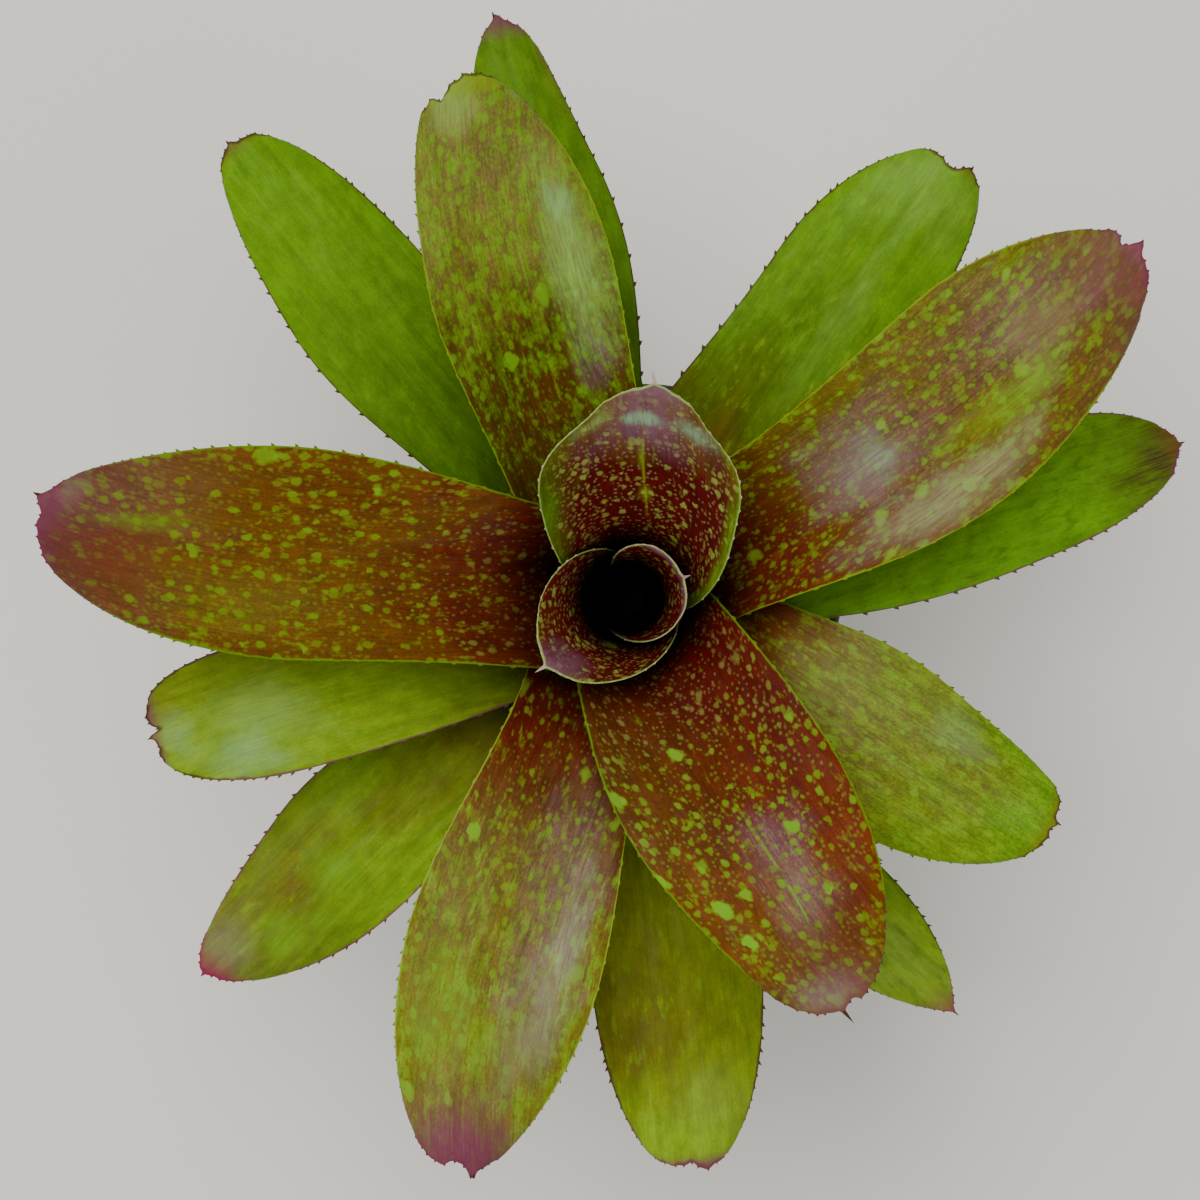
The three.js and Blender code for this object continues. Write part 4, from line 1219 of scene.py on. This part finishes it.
        # Noise, even about 0, pushes the outlines about.
        size = 0.9 + 0.35 * cell
        push = add(VECTOR_SUBTRACT, cloud(size, 0.7 * size, 2.0, 0.5, out="Color"), (0.5,) * 3)
        where = add(MAPPING, add(VECTOR_MULTIPLY_ADD, push, (rough,) * 3, mm),
                    (1 / (cell * style.stretch), 1 / cell, 1))
        gap = add(CELLS, where, 1.0, voronoi_dimensions="2D")
        pick = add(SPLIT_COLOUR, gap.node.outputs["Color"])
        # Where spots are scarce, fewer cells have one.
        kept = add(GREATER_THAN, pick, add(MULTIPLY_ADD, crowd, -portion, 1.0))
        radius = add(RANGE, pick, 1 - portion, 1.0, least / cell, most / cell)
        cover = add(SUBTRACT, add(MULTIPLY, radius, grown), gap)
        spot = add(MULTIPLY, add(EASE, cover, -soft / cell, 1.2 * soft / cell), kept)
        # No two spots are equally far advanced.
        ripe = add(RANGE, pick.node.outputs["Green"], 0, 1, 0.55, 1.0)
        spot = add(MULTIPLY, add(MULTIPLY, spot, ripe), add(MULTIPLY, lit, force))
        colour = add(BLEND, green, tissue("tan"), add(BLEND, colour, dull, bright))
        skin = add(BLEND, spot, skin, colour)

    # A pale line over the midrib, and the veils over the spots: tip and patch pigment, and
    # painted sheen where soft light reflects from the cuticle.
    if style.midrib:
        line = add(MULTIPLY, add(EASE, add(ABSOLUTE, across), 0.004, 0.022, 1, 0),
                   add(EASE, cloud(6, 4, 3.0), 0.36, 0.56))
        line = add(MULTIPLY, line, add(MULTIPLY, add(EASE, far, 0.56, 0.64),
                                       add(EASE, far, 0.82, 0.92, 1, 0)))
        skin = add(BLEND, add(MULTIPLY, line, 0.8 * style.midrib), skin, bright)
    skin = veiled(skin, style.bloom)

    # The tinted tip.
    colour, long = style.tip
    tip = add(MULTIPLY_ADD, drift, min(0.16, 3 * long), far)
    tip = add(EASE, tip, 1 - 1.6 * long - 0.02, 1.0 - 0.3 * long, 0, 0.7)
    skin = add(BLEND, tip, skin, tissue(colour))
    # The margin, which widens towards the tip.
    colour, wide, end_colour = style.rim
    wobble = add(MULTIPLY, add(EASE, cloud(5, 5, 2.0), 0.3, 0.7, 0.65, 1.4),
                 add(EASE, far, 0.6, 0.97, 1, 2.2))
    rim = add(DIVIDE, add(ATTRIBUTE, attribute_name="rim"), wobble)
    rim = add(EASE, rim, 0.3 * wide * MM, 1.3 * wide * MM, 0.8, 0.0)
    rim = add(MULTIPLY, rim, add(EASE, far, 0.2, 0.34))
    margin = add(BLEND, add(EASE, far, 0.84, 0.95), tissue(colour), tissue(end_colour))
    skin = add(BLEND, rim, skin, margin)
    # The teeth, and painted shade: the near-black of the depth of the cup, where no light comes
    # back from the leaf bases.
    tooth = add(EASE, add(ATTRIBUTE, attribute_name="tooth"), 0.05, 0.9)
    skin = add(BLEND, tooth, skin, tissue(style.tooth[0]))
    skin = add(BLEND, add(EASE, far, *style.cup), tissue("cup"), skin)

    # Soft dents, and veins that stand proud by a few hundredths of a millimetre.
    dents = add(BUMP, cloud(16, 7, 2.0), 0.5, 2.2 * MM)
    bump = add(BUMP, cloud(30, 0.55, 2.0), 0.3, 0.12 * MM, dents)
    gloss = add(EASE, cloud(14, 6, 4.0), 0.3, 0.7, 0.4, 0.54)
    fill(shader, {"Base Color": skin, "Roughness": gloss, "Normal": bump, "IOR": 1.42,
                  "Specular IOR Level": 0.1})
    return material


def scurfy_underside(name, style, colour, seed):
    """The lower skin of a bromeliad leaf, with its coat of grey water-drinking scales.

    It gives a matt grey-green with fine silvery cross-bands over faint veins.
    """
    material, shader, add = new_material(name)
    far = add(SPLIT, add(UV, uv_map="share"))
    mm = add(MAPPING, add(UV, uv_map="blade"), (METRE, METRE, 1), (53 * seed, 0, 0))
    # Cross-bands about 1.8 mm apart, broken into 9 mm runs, and veins 0.6 mm apart.
    band = add(FLAT_NOISE, add(MAPPING, mm, (1 / 1.8, 1 / 9, 1)), 1.0, 3.0)
    vein = add(FLAT_NOISE, add(MAPPING, mm, (1 / 32, 1 / 0.6, 1)), 1.0, 2.0)
    # The pigment of the upper side shows through more and more towards the tip.
    flush = add(RANGE, far, 0.35, 1.0, 0.1, 0.55)
    coat = add(BLEND, flush, colour, tissue(style.skin[3]))
    coat = add(BLEND, add(RANGE, band, 0.45, 0.68, 0, 0.38), coat, hex_colour("#a9b39a"))
    coat = add(TINT, 1.0, coat, add(RANGE, vein, 0.3, 0.7, 0.85, 1.1))
    coat = add(BLEND, add(RANGE, far, 0.02, 0.2), hex_colour("#8c8458"), coat)
    tooth = add(ATTRIBUTE, attribute_name="tooth")
    fill(shader, {
        "Base Color": add(BLEND, tooth, coat, tissue(style.tooth[0])),
        "Normal": add(BUMP, vein, 0.3, 0.15 * MM), "Roughness": 0.62})
    return material


class BROMELIAD_OT_leaves(bpy.types.Operator):
    """Adds the seventeen leaves, from the innermost outwards"""

    bl_idname = "bromeliad.add_leaves"
    bl_label = "Leaves"

    def execute(self, context):
        settings = context.scene.bromeliad_leaf
        for rank, (leaf, style) in enumerate(zip(LEAVES, LOOKS)):
            number = rank + 1
            blade, spots, rows = leaf_blade(f"blade_{number:02d}", leaf, rank, style)
            grow_teeth(blade, leaf, rank, spots, rows, style, settings,
                       random.Random(100 + rank))
            paint(blade, living_blade(f"living_blade_{number:02d}", style, number),
                  scurfy_underside(f"scurfy_underside_{number:02d}", style,
                                   tuple(settings.underside), number))
            settle(blade, 40)
            blade.vertex_groups.clear()
            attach(blade, "root")
            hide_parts(f"leaf_{number:02d}")
        return {"FINISHED"}


# ---- stage ----
FLOOR_SIZE = 24
CAMERA_X, CAMERA_Y = -0.0123, -0.0048
# Name, place and width of each disc of light, and its share of the softbox's power
LIGHTS = (
    ("softbox", (-0.35, 0.6, 1.7), 1.6, 1),
    ("fill", (1.3, -0.9, 1.1), 1.2, 0.3),
    ("kicker", (-1.3, -0.7, 0.8), 1.0, 0.18),
)
LIGHTS_AIM = Vector((0, 0, 0.12))
AIR_COLOUR, AIR_STRENGTH = hex_colour("#f2f4f6"), 0.36


def studio_paper(colour):
    """Matt paper backdrop, rolled out flat.

    It gives an even, pale ground with a barely visible tooth.
    """
    material, shader, add = new_material("studio_paper")
    # Paper fibres, drawn 1.5 mm across so that they show.
    fibre = add(NOISE, add(PLACE), METRE / 1.5, 3.0)
    paper = add(TINT, 1.0, colour, add(RANGE, fibre, 0, 1, 0.985, 1.015))
    fill(shader, {"Base Color": paper, "Roughness": 0.9})
    return material


class BROMELIAD_OT_stage(bpy.types.Operator):
    """Adds the floor, the soft lights and the camera"""

    bl_idname = "bromeliad.add_stage"
    bl_label = "Stage"

    def execute(self, context):
        setup = context.scene.bromeliad_stage
        deselect()
        bpy.ops.mesh.primitive_plane_add(size=FLOOR_SIZE, location=(0, 0, 0))
        floor = added("studio_floor")
        paint(floor, studio_paper(tuple(setup.floor_colour)))
        for name, spot, width, share in LIGHTS:
            bpy.ops.object.light_add(type="AREA", location=spot)
            light = added(name)
            light.data.shape = "DISK"
            light.data.size = width
            light.data.energy = setup.softbox * share
            light.rotation_euler = (
                (LIGHTS_AIM - Vector(spot)).to_track_quat("-Z", "Y").to_euler())
        world = bpy.data.worlds.new("studio_air")
        world.use_nodes = True
        fill(world.node_tree.nodes["Background"],
             {"Color": AIR_COLOUR, "Strength": AIR_STRENGTH})
        context.scene.world = world
        bpy.ops.object.camera_add(
            location=(CAMERA_X, CAMERA_Y, setup.camera_height), rotation=(0, 0, 0))
        camera = added("camera")
        camera.data.sensor_width = 36
        camera.data.lens = setup.lens
        camera.data.clip_start = 0.01
        context.scene.camera = camera
        return {"FINISHED"}


class BROMELIAD_PT_panel(bpy.types.Panel):
    """Lists the pieces of the potted bromeliad"""

    bl_label = "Potted bromeliad"
    bl_idname = "BROMELIAD_PT_panel"
    bl_space_type = "VIEW_3D"
    bl_region_type = "UI"
    bl_category = "Bromeliad"

    def draw(self, context):
        for operator, group in STEPS:
            box = self.layout.box()
            box.operator(operator.bl_idname)
            if group:
                settings = getattr(context.scene, group)
                for key in settings.bl_rna.properties.keys():
                    if key not in {"rna_type", "name"}:
                        box.prop(settings, key)


STEPS = (
    (BROMELIAD_OT_stage, "bromeliad_stage"),
    (BROMELIAD_OT_pot, "bromeliad_pot"),
    (BROMELIAD_OT_mix, "bromeliad_mix"),
    (BROMELIAD_OT_stem, None),
    (BROMELIAD_OT_leaves, "bromeliad_leaf"),
)
GROUPS = {
    "bromeliad_pot": BromeliadPotSettings,
    "bromeliad_mix": BromeliadMixSettings,
    "bromeliad_leaf": BromeliadLeafSettings,
    "bromeliad_stage": BromeliadStageSettings,
}


def register():
    """Registers the settings, the operators and the panel."""
    for name, group in GROUPS.items():
        bpy.utils.register_class(group)
        setattr(bpy.types.Scene, name, PointerProperty(type=group))
    for operator, _ in STEPS:
        bpy.utils.register_class(operator)
    bpy.utils.register_class(BROMELIAD_PT_panel)


def unregister():
    """Takes them out again, in the opposite order."""
    bpy.utils.unregister_class(BROMELIAD_PT_panel)
    for operator, _ in reversed(STEPS):
        bpy.utils.unregister_class(operator)
    for name, group in reversed(GROUPS.items()):
        delattr(bpy.types.Scene, name)
        bpy.utils.unregister_class(group)


def main():
    """Builds everything in order."""
    register()
    bpy.ops.bromeliad.add_stage()
    bpy.ops.bromeliad.add_pot()
    bpy.ops.bromeliad.add_mix()
    bpy.ops.bromeliad.add_stem()
    bpy.ops.bromeliad.add_leaves()


if __name__ == "__main__":
    main()
